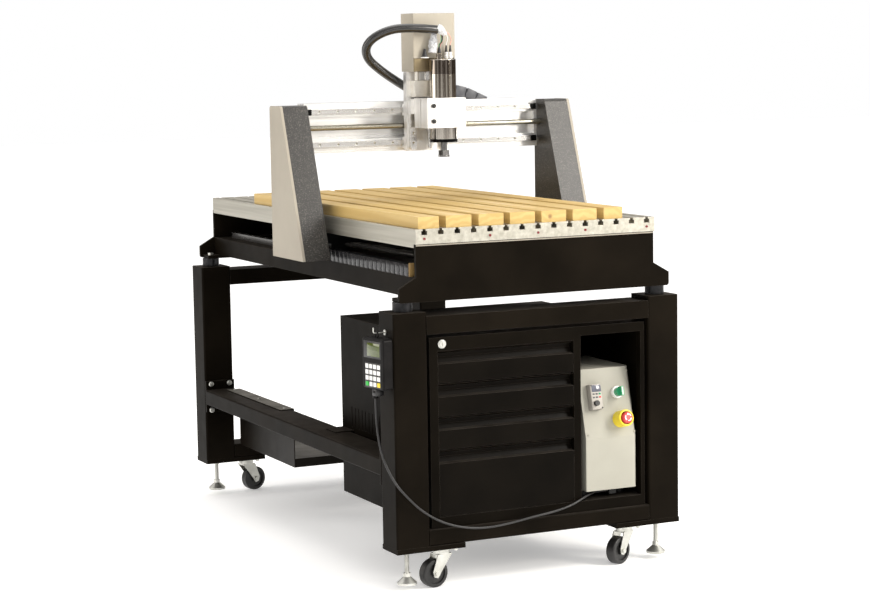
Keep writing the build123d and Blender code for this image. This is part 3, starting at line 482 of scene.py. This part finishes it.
def coatings():
    """Enamels and powder coats."""
    made = {
        "black_enamel": enamel("black_enamel", (0.0050, 0.0038, 0.0025), (0.0090, 0.0068, 0.0045),
                               specular=0.02),
        "cabinet_enamel": enamel("cabinet_enamel", (0.0034, 0.0026, 0.0017), (0.0062, 0.0048, 0.0032),
                                 specular=0.02),
        "drawer_enamel": enamel("drawer_enamel", (0.0032, 0.0025, 0.0017), (0.0058, 0.0045, 0.0031),
                                rough=(0.24, 0.38), specular=0.03),
        "hammertone_grey": hammertone("hammertone_grey", (0.011, 0.010, 0.008), (0.024, 0.021, 0.018),
                                      (0.22, 0.20, 0.175)),
        "light_grey_paint": enamel("light_grey_paint", (0.35, 0.315, 0.26), (0.40, 0.365, 0.30),
                                   worn=(0.56, 0.51, 0.42), dust_and_sheen=(0.50, 0.47, 0.40), rough=(0.4, 0.55)),
        "cream_paint": enamel("cream_paint", (0.33, 0.32, 0.272), (0.38, 0.37, 0.318),
                              worn=(0.60, 0.58, 0.52), dust_and_sheen=(0.55, 0.52, 0.45), rough=(0.36, 0.5)),
        "cover_cream": enamel("cover_cream", (0.40, 0.365, 0.30), (0.46, 0.42, 0.35),
                              worn=(0.56, 0.52, 0.44), dust_and_sheen=(0.52, 0.49, 0.42), rough=(0.34, 0.48)),
        "tab_ochre": enamel("tab_ochre", (0.30, 0.19, 0.07), (0.38, 0.25, 0.10)),
        "dark_motor": enamel("dark_motor", (0.010, 0.010, 0.011), (0.02, 0.02, 0.021)),
        "red_screw": enamel("red_screw", (0.20, 0.012, 0.02), (0.30, 0.02, 0.03), specular=0.5),
    }
    # The tray's pale top is mostly painted light: a heavy pale tone for the light falling on it from above.
    tray = enamel("tray_enamel", (0.0050, 0.0038, 0.0025), (0.0090, 0.0068, 0.0045), dust_and_sheen_amount=0.9,
                  dust_and_sheen=(0.36, 0.34, 0.30), specular=0.08)
    made["tray_enamel"] = tray
    panel = made["cream_paint"]
    part_in(panel, 2, 0.19, 0.2269, (0.012, 0.012, 0.012))
    return made


def plastics():
    """Mouldings, rubbers and small lit parts."""
    return {
        "black_rubber": plastic("black_rubber", (0.008, 0.008, 0.008), (0.016, 0.015, 0.015), (0.34, 0.5)),
        "hose_rubber": plastic("hose_rubber", (0.004, 0.004, 0.004), (0.010, 0.009, 0.009), (0.16, 0.28),
                               coat=0.4),
        "black_plastic": plastic("black_plastic", (0.008, 0.008, 0.009), (0.018, 0.018, 0.019)),
        "pendant_grey": plastic("pendant_grey", (0.006, 0.0055, 0.0055), (0.011, 0.010, 0.010), (0.3, 0.42),
                                specular=0.07),
        "keypad_grey": plastic("keypad_grey", (0.36, 0.34, 0.30), (0.44, 0.41, 0.37)),
        "key_grey": plastic("key_grey", (0.07, 0.07, 0.075), (0.11, 0.11, 0.115)),
        "display_blue": plastic("display_blue", (0.09, 0.095, 0.12), (0.15, 0.155, 0.19), (0.1, 0.2),
                                bump=0.02, coat=0.5),
        "chain_plastic": plastic("chain_plastic", (0.045, 0.047, 0.056), (0.078, 0.081, 0.095),
                                 (0.34, 0.5)),
        "chain_glossy": plastic("chain_glossy", (0.010, 0.010, 0.011), (0.026, 0.026, 0.028), (0.14, 0.28),
                                specular=0.22),
        "white_plastic": plastic("white_plastic", (0.80, 0.80, 0.78), (0.88, 0.88, 0.86), (0.25, 0.4)),
        "wrap_film": plastic("wrap_film", (0.50, 0.51, 0.53), (0.72, 0.73, 0.75), (0.16, 0.4), grain=160,
                             bump=0.5, coat=0.4),
        "green_plastic": plastic("green_plastic", (0.010, 0.22, 0.09), (0.02, 0.30, 0.13), (0.2, 0.32),
                                 coat=0.3),
        "key_green": plastic("key_green", (0.02, 0.42, 0.05), (0.03, 0.52, 0.07)),
        "yellow_plastic": plastic("yellow_plastic", (0.78, 0.60, 0.02), (0.86, 0.68, 0.03), (0.25, 0.38)),
        "key_yellow": plastic("key_yellow", (0.85, 0.62, 0.02), (0.95, 0.72, 0.04)),
        "red_plastic": plastic("red_plastic", (0.52, 0.03, 0.035), (0.66, 0.06, 0.06), (0.2, 0.32),
                               coat=0.3),
        "pink_wire": plastic("pink_wire", (0.72, 0.34, 0.28), (0.80, 0.44, 0.38)),
        "olive_screen": plastic("olive_screen", (0.055, 0.075, 0.010), (0.085, 0.11, 0.02),
                                (0.08, 0.14), bump=0.02, coat=0.5),
    }


def make_materials():
    made = {**metals(), **coatings(), **plastics(), "pine": pine()}
    return {name: paint.mat for name, paint in made.items()}


NODE_LOOKS = {
    "bed_plate": "bed_aluminium", "gantry_beam": "beam_aluminium", "x_carriage": "milled_aluminium",
    "spindle_clamp": "milled_aluminium", "z_drive": "z_drive_aluminium", "x_chain": "chain_plastic",
    "y_rails": "rail_steel", "y_screw": "ground_steel", "x_rails": "x_rail_steel",
    "x_screw": "screw_steel", "z_rails": "ground_steel", "z_screw": "ground_steel",
    "spindle_nose": "nose_steel", "spindle_body": "spindle_sleeve", "cabinet_shell": "cabinet_enamel",
    "drawer_1": "drawer_enamel", "drawer_2": "drawer_enamel", "drawer_3": "drawer_enamel",
    "drawer_4": "drawer_enamel", "isolators": "isolator_grey", "z_motor_cover": "cover_cream",
    "inverter": "keypad_grey", "pendant_body": "pendant_grey", "rear_tray": "tray_enamel",
    "y_chain": "chain_glossy", "drawer_lock": "zinc",
}
SLOT_LOOKS = {
    "aluminium": "milled_aluminium", "steel": "ground_steel", "polished_steel": "spindle_sleeve",
    "grey_plastic": "pendant_grey",
}


def dress_nodes(looks):
    """Gives each carried-over part its material."""
    slots = {row["node"]: row["material_slot"] for row in frame["record"]["subparts"]}
    for name, slot in slots.items():
        node = bpy.data.objects[name]
        material = looks[NODE_LOOKS.get(name, SLOT_LOOKS.get(slot, slot))]
        for holder in node.material_slots:
            holder.material = material
        if not node.material_slots:
            node.data.materials.append(material)


# ---------------------------------------------------------------- cords
CORD_ROUTE = [
    (-477.8, -760.7, 542.0), (-477.8, -760.7, 505.0), (-477.5, -767.0, 450.0),
    (-476.0, -786.0, 395.0), (-471.0, -815.0, 352.0), (-457.0, -841.0, 312.0),
    (-428.0, -844.0, 277.0), (-385.0, -842.0, 234.0), (-325.0, -841.0, 195.0),
    (-253.0, -841.0, 171.0), (-180.0, -841.0, 163.5), (-105.0, -841.5, 170.0),
    (-35.0, -841.0, 180.5), (30.0, -840.0, 187.0), (88.0, -835.0, 198.0),
    (131.0, -824.0, 212.0), (165.0, -804.0, 217.5), (198.0, -783.0, 218.0), (236.0, -783.0, 218.0),
]
HOSE_ROUTE = [
    (-6.0, -195.0, 1547.0), (-80.0, -198.0, 1554.0), (-160.0, -184.0, 1550.0),
    (-214.0, -146.0, 1514.0), (-204.0, -108.0, 1468.0), (-142.0, -88.0, 1424.0),
    (-72.0, -62.0, 1387.0), (-20.0, -22.0, 1368.0), (26.0, 10.0, 1360.0), (70.0, 10.0, 1360.0),
]


def make_pendant_cord(looks):
    cord = route_curve("pendant_lead", CORD_ROUTE, 3.25 * MM)
    cord.data.materials.append(looks["black_rubber"])
    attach(cord, "root")
    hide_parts("pendant_cord")


def tube_mesh(name, points, radius_at, material, around=24):
    """A tube on a line of points, whose radius is a function of the way along it."""
    bm = bmesh.new()
    rings = []
    travelled = 0.0
    side = Vector((0, 0, 1))
    for i, point in enumerate(points):
        ahead = points[min(i + 1, len(points) - 1)] - points[max(i - 1, 0)]
        ahead.normalize()
        side = (side - ahead * side.dot(ahead)).normalized()
        other = ahead.cross(side)
        if i:
            travelled += (point - points[i - 1]).length
        radius = radius_at(travelled)
        angles = [2 * math.pi * k / around for k in range(around)]
        rings.append([bm.verts.new(point + side * radius * math.cos(a) + other * radius * math.sin(a))
                      for a in angles])
    for low, high in zip(rings, rings[1:]):
        for k in range(around):
            j = (k + 1) % around
            bm.faces.new((low[k], low[j], high[j], high[k]))
    bm.faces.new(reversed(rings[0]))
    bm.faces.new(rings[-1])
    return mesh_object(name, bm, material)


def make_conduit(looks):
    """A corrugated hose that bends between the cross carriage and the spindle slide."""
    points = spline_points("hose_line", HOSE_ROUTE, 60)
    pitch, depth, radius = 0.0045, 0.0006, 0.0135

    def ribbed(along):
        return radius - depth * (0.5 + 0.5 * math.cos(along * 2 * math.pi / pitch))

    hose = tube_mesh("cable_hose", points, ribbed, looks["hose_rubber"])
    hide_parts("cable_conduit")
    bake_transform(hose)


# ---------------------------------------------------------------- gantry details
def finish(piece, body, slot, *replaced):
    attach(piece, body)
    if replaced:
        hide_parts(*replaced)
    return piece


def screw_profile(radius, height, socket):
    """A cap screw's head with a socket sunk into it."""
    rim = min(radius * 0.12, height * 0.4)
    return [(0, 0), (radius, 0), (radius, height - rim), (radius - rim, height), (socket, height),
            (socket * 0.94, height * 0.35), (0, height * 0.35)]


def add_screws(bm, places, normal, radius, height, socket):
    for place in places:
        add_lathe(bm, screw_profile(radius, height, socket), facing(place, normal), 20)


def make_screws(looks):
    """Rail screws at their pitch, red screws in the bed's edge, and the cover's, clamp's and tray's."""
    bm = bmesh.new()
    inset, pitch = 0.025, 0.06
    count = int((X_RAIL_LENGTH - 2 * inset) / pitch) + 1
    for z in (1.306, 1.207):
        places = [(-X_RAIL_LENGTH / 2 + inset + i * pitch, X_RAIL_FACE, z) for i in range(count)]
        add_screws(bm, places, (0, -1, 0), 0.0042, RAIL_SCREW_RISE, 0.0024)
    finish(mesh_object("x_rail_screws", bm, looks["zinc"]), "gantry", "zinc")

    bm = bmesh.new()
    places = [(x, Z_RAIL_FACE, z) for x in (-0.056, 0.048) for z in (1.206, 1.236)]
    add_screws(bm, places, (0, -1, 0), 0.0042, RAIL_SCREW_RISE, 0.0024)
    finish(mesh_object("z_rail_screws", bm, looks["zinc"]), "x_carriage", "zinc")

    bm = bmesh.new()
    for x in (-0.32, 0.32):
        places = [(x, -0.73 + i * pitch, Y_RAIL_TOP) for i in range(25)]
        add_screws(bm, places, (0, 0, 1), 0.0048, RAIL_SCREW_RISE, 0.0026)
    finish(mesh_object("y_rail_screws", bm, looks["zinc"]), "root", "zinc")

    bm = bmesh.new()
    slots = (0, 4, 7, 10, 14)
    places = [((i - 7) * 0.05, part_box("bed_plate")[0][1], 0.977) for i in slots]
    add_screws(bm, places, (0, -1, 0), 0.0036, 0.0022, 0.0018)
    finish(mesh_object("bed_edge_screws", bm, looks["red_screw"]), "root", "zinc")

    low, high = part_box("z_motor_cover")
    bm = bmesh.new()
    across, up = (low[1] + 0.016, high[1] - 0.016), (low[2] + 0.014, high[2] - 0.014)
    side = [(low[0], y, z) for y in across for z in up]
    add_screws(bm, side, (-1, 0, 0), 0.0038, 0.0016, 0.0018)
    other = [(high[0], y, z) for _, y, z in side]
    add_screws(bm, other, (1, 0, 0), 0.0038, 0.0016, 0.0018)
    finish(mesh_object("cover_screws", bm, looks["zinc"]), "x_carriage", "zinc")

    bm = bmesh.new()
    low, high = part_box("spindle_clamp")
    places = [(-0.0375, low[1] + 0.005, z) for z in (1.2735, 1.3195)]
    add_screws(bm, places, (0, -1, 0), 0.0066, 0.0058, 0.0032)
    finish(mesh_object("clamp_screws", bm, looks["black_plastic"]), "z_carriage", "black_plastic")

    # A thin black slab on the clamp's right side: painted shadow along that edge.
    bm = bmesh.new()
    add_slab(bm, (0.006, 0.062, 0.0865), (0.0745, -0.170, 1.2995), 0.001)
    finish(mesh_object("clamp_edge_shadow_slab", bm, looks["black_plastic"]), "z_carriage", "steel")

    bm = bmesh.new()
    for y in (0.205, 0.43, 0.655):
        for x in (-0.37, 0.37):
            add_screws(bm, [(x, y, 0.369)], (0, 0, 1), 0.0052, 0.003, 0.0024)
    finish(mesh_object("tray_screws", bm, looks["zinc"]), "root", "zinc")


def make_edge_highlight(looks):
    """A pale strip along the top of the front end plate: a painted highlight where its chamfer catches the
    light.
    """
    bm = bmesh.new()
    add_slab(bm, (0.748, 0.0016, 0.0034), (0.0, -0.8146, 0.9588), 0.0006)
    finish(mesh_object("front_edge_highlight", bm, looks["light_grey_paint"]), "root", "light_grey_paint")


def chain_link(bm, turn, length, width, height, wall=0.0022):
    """One link of a cable chain: two side plates with a pin boss, bars above and below, and a core."""
    body = length * 0.92
    for side in (-1, 1):
        place = (0, side * (width / 2 - wall / 2), 0)
        add_slab(bm, (body, wall, height), place, 0.0009, turn)
        boss = facing((-body / 2 + height * 0.2, side * (width / 2 - wall), 0), (0, side, 0))
        radius = height * 0.24
        profile = [(0, 0), (radius, 0), (radius, wall + 0.0004), (radius * 0.5, wall + 0.0006),
                   (0, wall + 0.0003)]
        add_lathe(bm, profile, turn @ boss, 16)
    for side in (-1, 1):
        place = (0, 0, side * (height / 2 - wall * 0.55))
        add_slab(bm, (body * 0.88, width - 2 * wall, wall), place, 0.0007, turn)
    add_slab(bm, (length * 0.99, width - 3 * wall, height - 4 * wall), (0, 0, 0), 0.0008, turn)


def links_along(bm, points, count, width, height):
    """Links spaced evenly along a line in a plane of constant Y."""
    lengths = [0.0]
    for before, after in zip(points, points[1:]):
        lengths.append(lengths[-1] + (after - before).length)
    pitch = lengths[-1] / count

    def at(distance):
        for i in range(len(points) - 1):
            if distance <= lengths[i + 1] or i == len(points) - 2:
                share = (distance - lengths[i]) / (lengths[i + 1] - lengths[i])
                return points[i].lerp(points[i + 1], share)

    for i in range(count):
        tail, head = at(i * pitch), at((i + 1) * pitch)
        along = (head - tail).normalized()
        across = Vector((0, 1, 0))
        if abs(along.y) > 0.9:
            across = Vector((1, 0, 0))
        turn = Matrix((along, across, along.cross(across))).transposed().to_4x4()
        chain_link(bm, Matrix.Translation((tail + head) / 2) @ turn, pitch, width, height)


def chain_line():
    """The cross chain's middle line: off the carriage, a droop, a tight turn, and the lower run."""
    line, straight, start, end = 1.360, 0.120, 0.070, -0.060
    droop, slope, tight, turn = 0.190, 0.060, 0.058, math.radians(25)
    y = 0.010
    points = [Vector((start, y, line)), Vector((straight, y, line))]
    for i in range(1, 9):
        a = turn * i / 8
        points.append(Vector((straight + droop * math.sin(a), y, line - droop * (1 - math.cos(a)))))
    drop = points[-1] + Vector((math.cos(turn), 0, -math.sin(turn))) * slope
    hub = drop - Vector((math.sin(turn), 0, math.cos(turn))) * tight
    for i in range(13):
        a = math.radians(90) - turn - (math.pi - turn) * i / 12
        points.append(hub + Vector((math.cos(a), 0, math.sin(a))) * tight)
    points.append(Vector((end, y, hub.z - tight)))
    return points


def make_chains(looks):
    bm = bmesh.new()
    links_along(bm, chain_line(), 17, 0.030, 0.038)
    chain = mesh_object("x_chain_links", bm, looks["chain_plastic"])
    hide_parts("x_chain")
    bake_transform(chain)

    low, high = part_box("y_chain")
    top = 0.904
    bm = bmesh.new()
    middle = (low[0] + high[0]) / 2
    run = [Vector((middle, -0.764, (low[2] + top) / 2)), Vector((middle, 0.155, (low[2] + top) / 2))]
    links_along(bm, run, 30, high[0] - low[0], top - low[2])
    finish(mesh_object("y_chain_links", bm, looks["chain_glossy"]), "root", "black_plastic", "y_chain")
    bm = bmesh.new()
    tab_centre = (middle, low[1] + 0.002, (low[2] + high[2]) / 2)
    add_slab(bm, (high[0] - low[0], 0.004, high[2] - low[2]), tab_centre, 0.001)
    add_screws(bm, [(middle + dx, low[1], high[2] - 0.008) for dx in (-0.008, 0.008)], (0, -1, 0), 0.003,
               0.0015, 0.0014)
    finish(mesh_object("y_chain_tab", bm, looks["tab_ochre"]), "root", "zinc")


def make_spindle_top(looks):
    """Connectors, loose wires and the clear wrap between the hose's end and the spindle."""
    x, y = 17.0, -183.0
    top = 1459.0
    connectors = {
        "connector_left": ((x - 10, y, top), looks["brass"], 9.5, 19),
        "connector_front": ((x + 20, y - 14, top), looks["white_plastic"], 6.5, 22),
        "connector_rear": ((x + 20, y + 14, top), looks["white_plastic"], 6.5, 22),
    }
    for name, (place, look, radius, height) in connectors.items():
        bm = bmesh.new()
        profile = [(radius * 0.72, 0), (radius, 1.5), (radius, height * 0.45), (radius * 0.8, height * 0.5),
                   (radius * 0.86, height * 0.62), (radius * 0.86, height * 0.9), (radius * 0.5, height)]
        turn = Matrix.Translation([c * MM for c in place])
        add_lathe(bm, [(0, 0)] + [(r * MM, h * MM) for r, h in profile] + [(0, height * MM)], turn, 24)
        for i in range(12):
            a = math.pi / 6 * i
            rib = Matrix.Translation((radius * MM, 0, height * 0.25 * MM))
            spot = turn @ Matrix.Rotation(a, 4, "Z") @ rib
            add_slab(bm, (0.0008, 0.0012, height * 0.3 * MM), (0, 0, 0), 0.0003, spot, 1)
        finish(mesh_object(name, bm, look), "z_carriage", "steel")
        bm = bmesh.new()
        sleeve = [(0, 0), (radius * 0.7 * MM, 0), (radius * 0.42 * MM, 0.012), (0.0022, 0.020), (0, 0.020)]
        add_lathe(bm, sleeve, turn @ Matrix.Translation((0, 0, (height - 1) * MM)), 20)
        finish(mesh_object(name + "_boot", bm, looks["black_rubber"]), "z_carriage", "black_rubber")
    start = (-8.0, -195.0, 1547.0)
    ends = {
        "wire_black": ((x - 10, y, top + 36), (12, -196, 1538), (14, -192, 1512), 2.0, "black_rubber"),
        "wire_pink": ((x + 20, y - 14, top + 38), (26, -202, 1542), (42, -199, 1516), 1.3, "pink_wire"),
        "wire_white": ((x + 20, y + 14, top + 38), (24, -190, 1545), (40, -176, 1518), 1.6,
                       "white_plastic"),
        "wire_green": ((x - 12, y - 2, top + 36), (6, -199, 1534), (8, -196, 1508), 1.1, "green_plastic"),
        "wire_red": ((x - 6, y + 3, top + 36), (10, -191, 1536), (17, -188, 1510), 1.1, "red_plastic"),
    }
    for i, (name, (end, high, low, radius, look)) in enumerate(ends.items()):
        first = (start[0] - 6, start[1] + 2.6 * (i - 2), start[2] + 2.2 * ((i % 3) - 1))
        second, above_end = (start[0] + 8, first[1], first[2] - 1), (end[0], end[1], end[2] + 9)
        route = [first, second, high, low, above_end, end]
        curve = route_curve(name, route, radius * MM, 8)
        curve.data.materials.append(looks[look])
        finish(curve, "z_carriage", "black_rubber")
    wrap_film(looks, "wrap_upper", (-6, -196, 1556), (20, -200, 1532), 15.0, 10.0, 3)
    wrap_film(looks, "wrap_lower", (-6, -176, 1540), (-14, -178, 1478), 9.0, 17.0, 8)

    bm = bmesh.new()
    cone = [(0, 0), (0.0105, 0), (0.0105, 0.004), (0.0085, 0.0045), (0.0075, 0.010), (0.0035, 0.027),
            (0, 0.028)]
    place = Matrix.Translation((-0.036, -0.171, 1.463))
    add_lathe(bm, cone, place, 28)
    finish(mesh_object("motor_cable_gland", bm, looks["black_plastic"]), "x_carriage", "black_plastic")
    bm = bmesh.new()
    ring = [(0, -0.0005), (0.0125, -0.0005), (0.0125, 0.002), (0.0108, 0.003), (0, 0.003)]
    add_lathe(bm, ring, place, 28)
    finish(mesh_object("gland_ring", bm, looks["white_plastic"]), "x_carriage", "white_plastic")


def wrap_film(looks, name, start, end, first_radius, last_radius, seed):
    """A crumpled sleeve of clear film bound round the wires."""
    dice = random.Random(seed)
    a, b = Vector(start) * MM, Vector(end) * MM
    along = (b - a).normalized()
    side = along.cross(Vector((0, 1, 0))).normalized()
    other = along.cross(side)
    bm = bmesh.new()
    rings, around, rows = [], 22, 14
    for row in range(rows + 1):
        share = row / rows
        swell = 0.72 + 0.28 * math.sin(math.pi * min(1, share * 1.15))
        radius = (first_radius + (last_radius - first_radius) * share) * MM * swell
        ring = []
        for k in range(around):
            angle = 2 * math.pi * k / around
            r = radius * (1 + dice.uniform(-0.16, 0.16))
            outward = side * math.cos(angle) + other * math.sin(angle)
            ring.append(bm.verts.new(a.lerp(b, share) + outward * r))
        rings.append(ring)
    for low, high in zip(rings, rings[1:]):
        for k in range(around):
            j = (k + 1) % around
            bm.faces.new((low[k], low[j], high[j], high[k]))
    bm.faces.new(reversed(rings[0]))
    bm.faces.new(rings[-1])
    bmesh.ops.recalc_face_normals(bm, faces=bm.faces)
    finish(mesh_object(name, bm, looks["wrap_film"], smooth=False), "z_carriage", "white_plastic")


# ---------------------------------------------------------------- control panel details
def panel_frame(u, v, height):
    """A matrix on the sloping panel: X across, Y up the slope, Z out of it."""
    origin, lean = Vector((0, -0.815, 0.377)), math.atan2(50.0, 196.0)
    up = Vector((0, math.sin(lean), math.cos(lean)))
    out = Vector((0, -math.cos(lean), math.sin(lean)))
    turn = Matrix((Vector((1, 0, 0)), up, out)).transposed().to_4x4()
    place = origin + Vector((u * MM, 0, 0)) + up * v * MM + out * height * MM
    return Matrix.Translation(place) @ turn


def arc_band(bm, turn, inner, outer, start, sweep, height, steps=10):
    """A flat curved bar that ends in an arrow."""
    angles = [math.radians(start + sweep * i / steps) for i in range(steps + 1)]
    rows = []
    for i, a in enumerate(angles):
        widen = 1.0 if i < steps - 2 else (2.0 - (i - steps + 2)) if i > steps - 2 else 2.0
        middle, half = (inner + outer) / 2, (outer - inner) / 2 * max(widen, 0.05)
        rows.append([Vector(((middle + s * half) * math.cos(a), (middle + s * half) * math.sin(a), z))
                     for s, z in ((-1, 0), (-1, height), (1, height), (1, 0))])
    verts = [[bm.verts.new(turn @ v) for v in row] for row in rows]
    for low, high in zip(verts, verts[1:]):
        for k in range(4):
            j = (k + 1) % 4
            bm.faces.new((low[k], high[k], high[j], low[j]))
    bm.faces.new(reversed(verts[0]))
    bm.faces.new(verts[-1])


def make_panel(looks):
    """The inverter's display and keys, the switch's marker and the stop button's arrows."""
    face = 22.0
    bm = bmesh.new()
    add_slab(bm, (0.030, 0.0195, 0.0014), (0, 0, 0.0002), 0.0005, panel_frame(190.5, 142.5, face))
    finish(mesh_object("keypad_display", bm, looks["display_blue"]), "root", "grey_plastic")
    rows = {1: 127.0, 0: 117.5}
    for row, v in rows.items():
        for column in range(3):
            bm = bmesh.new()
            look = "key_grey" if column < 2 else ("green_plastic" if row else "red_plastic")
            turn = panel_frame(180.0 + 10.0 * column, v, face)
            add_slab(bm, (0.0066, 0.0046, 0.0022), (0, 0, 0.0005), 0.0008, turn)
            finish(mesh_object(f"keypad_key_{row}{column}", bm, looks[look]), "root", "black_plastic")
    bm = bmesh.new()
    for u, v in ((175.5, 151.5), (203.5, 86.5)):
        profile = screw_profile(0.0022, 0.0012, 0.001)
        add_lathe(bm, profile, panel_frame(u, v, face - 0.3), 16)
    finish(mesh_object("keypad_screws", bm, looks["black_plastic"]), "root", "black_plastic")

    turn = panel_frame(184.0, 100.0, 33.0)
    bm = bmesh.new()
    for i in range(18):
        a = math.pi / 9 * i
        spot = turn @ Matrix.Rotation(a, 4, "Z") @ Matrix.Translation((0.0075, 0, -0.0055))
        add_slab(bm, (0.0009, 0.0012, 0.009), (0, 0, 0), 0.0003, spot, 1)
    add_slab(bm, (0.0012, 0.006, 0.0006), (0, 0.004, 0.0001), 0.0002, turn, 1)
    finish(mesh_object("speed_knob_ribs", bm, looks["black_plastic"]), "inverter_knob", "black_plastic")

    bm = bmesh.new()
    add_slab(bm, (0.0032, 0.0225, 0.0014), (0, 0, 0.0002), 0.0005, panel_frame(266.0, 128.0, 39.0))
    finish(mesh_object("switch_marker", bm, looks["white_plastic"]), "rotary_switch", "white_plastic")

    turn = panel_frame(267.0, 50.0, 49.9)
    bm = bmesh.new()
    for i in range(3):
        arc_band(bm, turn, 0.0078, 0.0108, 120 * i + 20, 92, 0.0007)
    finish(mesh_object("stop_button_arrows", bm, looks["white_plastic"]), "estop_button", "white_plastic")

    bm = bmesh.new()
    for x in (0.158, 0.308):
        for v in (12.0, 188.0):
            add_lathe(bm, screw_profile(0.0034, 0.0016, 0.0014), panel_frame(x / MM, v, 0.0), 18)
    finish(mesh_object("panel_screws", bm, looks["cream_paint"]), "root", "zinc")


# ---------------------------------------------------------------- pendant details
def pendant_frame(u, v, height):
    yaw = math.radians(10.5)
    out = Vector((-math.cos(yaw), -math.sin(yaw), 0))
    across = Vector((math.sin(yaw), -math.cos(yaw), 0))
    up = Vector((0, 0, 1))
    turn = Matrix((across, up, out)).transposed().to_4x4()
    centre = Vector((-0.4756, -0.7722, 0.640))
    return Matrix.Translation(centre + across * u * MM + up * v * MM + out * height * MM) @ turn


def make_pendant(looks):
    """Sixteen soft keys, the screen in its frame, the keypad's surround and the lead's plug."""
    for row in range(4):
        for column in range(4):
            look = "white_plastic"
            if row == 0 and column in (0, 3):
                look = "key_green" if column == 0 else "key_yellow"
            turn = pendant_frame(-27.5 + 18.4 * column, -57 + 16.4 * row, 15.0)
            bm = bmesh.new()
            add_slab(bm, (0.0138, 0.0120, 0.0032), (0, 0, 0.0006), 0.0012, turn, 3)
            key = mesh_object(f"pendant_key_{row}{column}", bm, looks[look])
            finish(key, "root", "white_plastic")
            if row == 0 and column == 0:
                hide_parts("pendant_keys")
    bm = bmesh.new()
    add_slab(bm, (0.078, 0.069, 0.0012), (0, 0, 0), 0.0005, pendant_frame(0, -32.5, 15.2))
    add_slab(bm, (0.082, 0.047, 0.0012), (0, 0, 0), 0.0005, pendant_frame(-2, 38, 15.2))
    finish(mesh_object("pendant_surround", bm, looks["black_plastic"]), "root", "black_plastic")
    bm = bmesh.new()
    add_slab(bm, (0.060, 0.0365, 0.0012), (0, 0, 0), 0.0005, pendant_frame(4, 38, 15.8))
    screen = mesh_object("pendant_glass", bm, looks["olive_screen"])
    finish(screen, "root", "olive_screen", "pendant_screen")
    bm = bmesh.new()
    add_slab(bm, (0.022, 0.020, 0.026), (0, 0, 0), 0.003, pendant_frame(1.5, -80, 1))
    finish(mesh_object("pendant_plug", bm, looks["black_plastic"]), "root", "black_plastic")
    bm = bmesh.new()
    add_slab(bm, (0.013, 0.006, 0.001), (0, 0, 0), 0.0004, pendant_frame(1.5, -78, 14.2))
    finish(mesh_object("plug_label_plate", bm, looks["pendant_grey"]), "root", "grey_plastic")


# ---------------------------------------------------------------- stand details
def make_stand_details(looks):
    """Threads on the feet and the lock's ring."""
    low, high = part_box("drawer_lock")
    bm = bmesh.new()
    centre = ((low[0] + high[0]) / 2, low[1] + 0.0035, (low[2] + high[2]) / 2)
    ring = [(0.0082, 0), (0.0125, 0), (0.0125, 0.001), (0.0112, 0.0022), (0.0082, 0.0022)]
    add_lathe(bm, ring + [ring[0]], facing(centre, (0, -1, 0)), 32)
    bmesh.ops.remove_doubles(bm, verts=bm.verts, dist=1e-6)
    finish(mesh_object("lock_ring", bm, looks["zinc"]), "root", "zinc")
    corners = {"front_left": (-1, -1), "front_right": (1, -1), "rear_left": (-1, 1), "rear_right": (1, 1)}
    for corner, (sx, sy) in corners.items():
        x, y = sx * 0.400, sy * 0.775
        thread = thread_mesh(x, y, 0.050, 0.112, 0.006, 0.0020)
        piece = mesh_object("foot_thread_" + corner, thread, looks["zinc"])
        finish(piece, "levelling_foot_" + corner, "zinc")


def thread_mesh(x, y, low, high, radius, pitch):
    """A screw thread: a ridge that climbs the stem."""
    bm = bmesh.new()
    per_turn = 18
    steps = int((high - low) / pitch * per_turn)
    section = ((-0.0002, -0.45), (0.0007, 0.0), (-0.0002, 0.45))
    rows = []
    for i in range(steps + 1):
        a = 2 * math.pi * i / per_turn
        z = low + pitch * i / per_turn
        rows.append([bm.verts.new((x + (radius + out) * math.cos(a), y + (radius + out) * math.sin(a),
                                   z + rise * pitch)) for out, rise in section])
    for before, after in zip(rows, rows[1:]):
        for k in range(3):
            j = (k + 1) % 3
            bm.faces.new((before[k], after[k], after[j], before[j]))
    bm.faces.new(rows[0])
    bm.faces.new(reversed(rows[-1]))
    bmesh.ops.recalc_face_normals(bm, faces=bm.faces)
    return bm


make_camera()
looks = make_materials()
make_studio()
dress_nodes(looks)
make_pendant_cord(looks)
make_conduit(looks)
make_screws(looks)
make_edge_highlight(looks)
make_chains(looks)
make_spindle_top(looks)
make_panel(looks)
make_pendant(looks)
make_stand_details(looks)
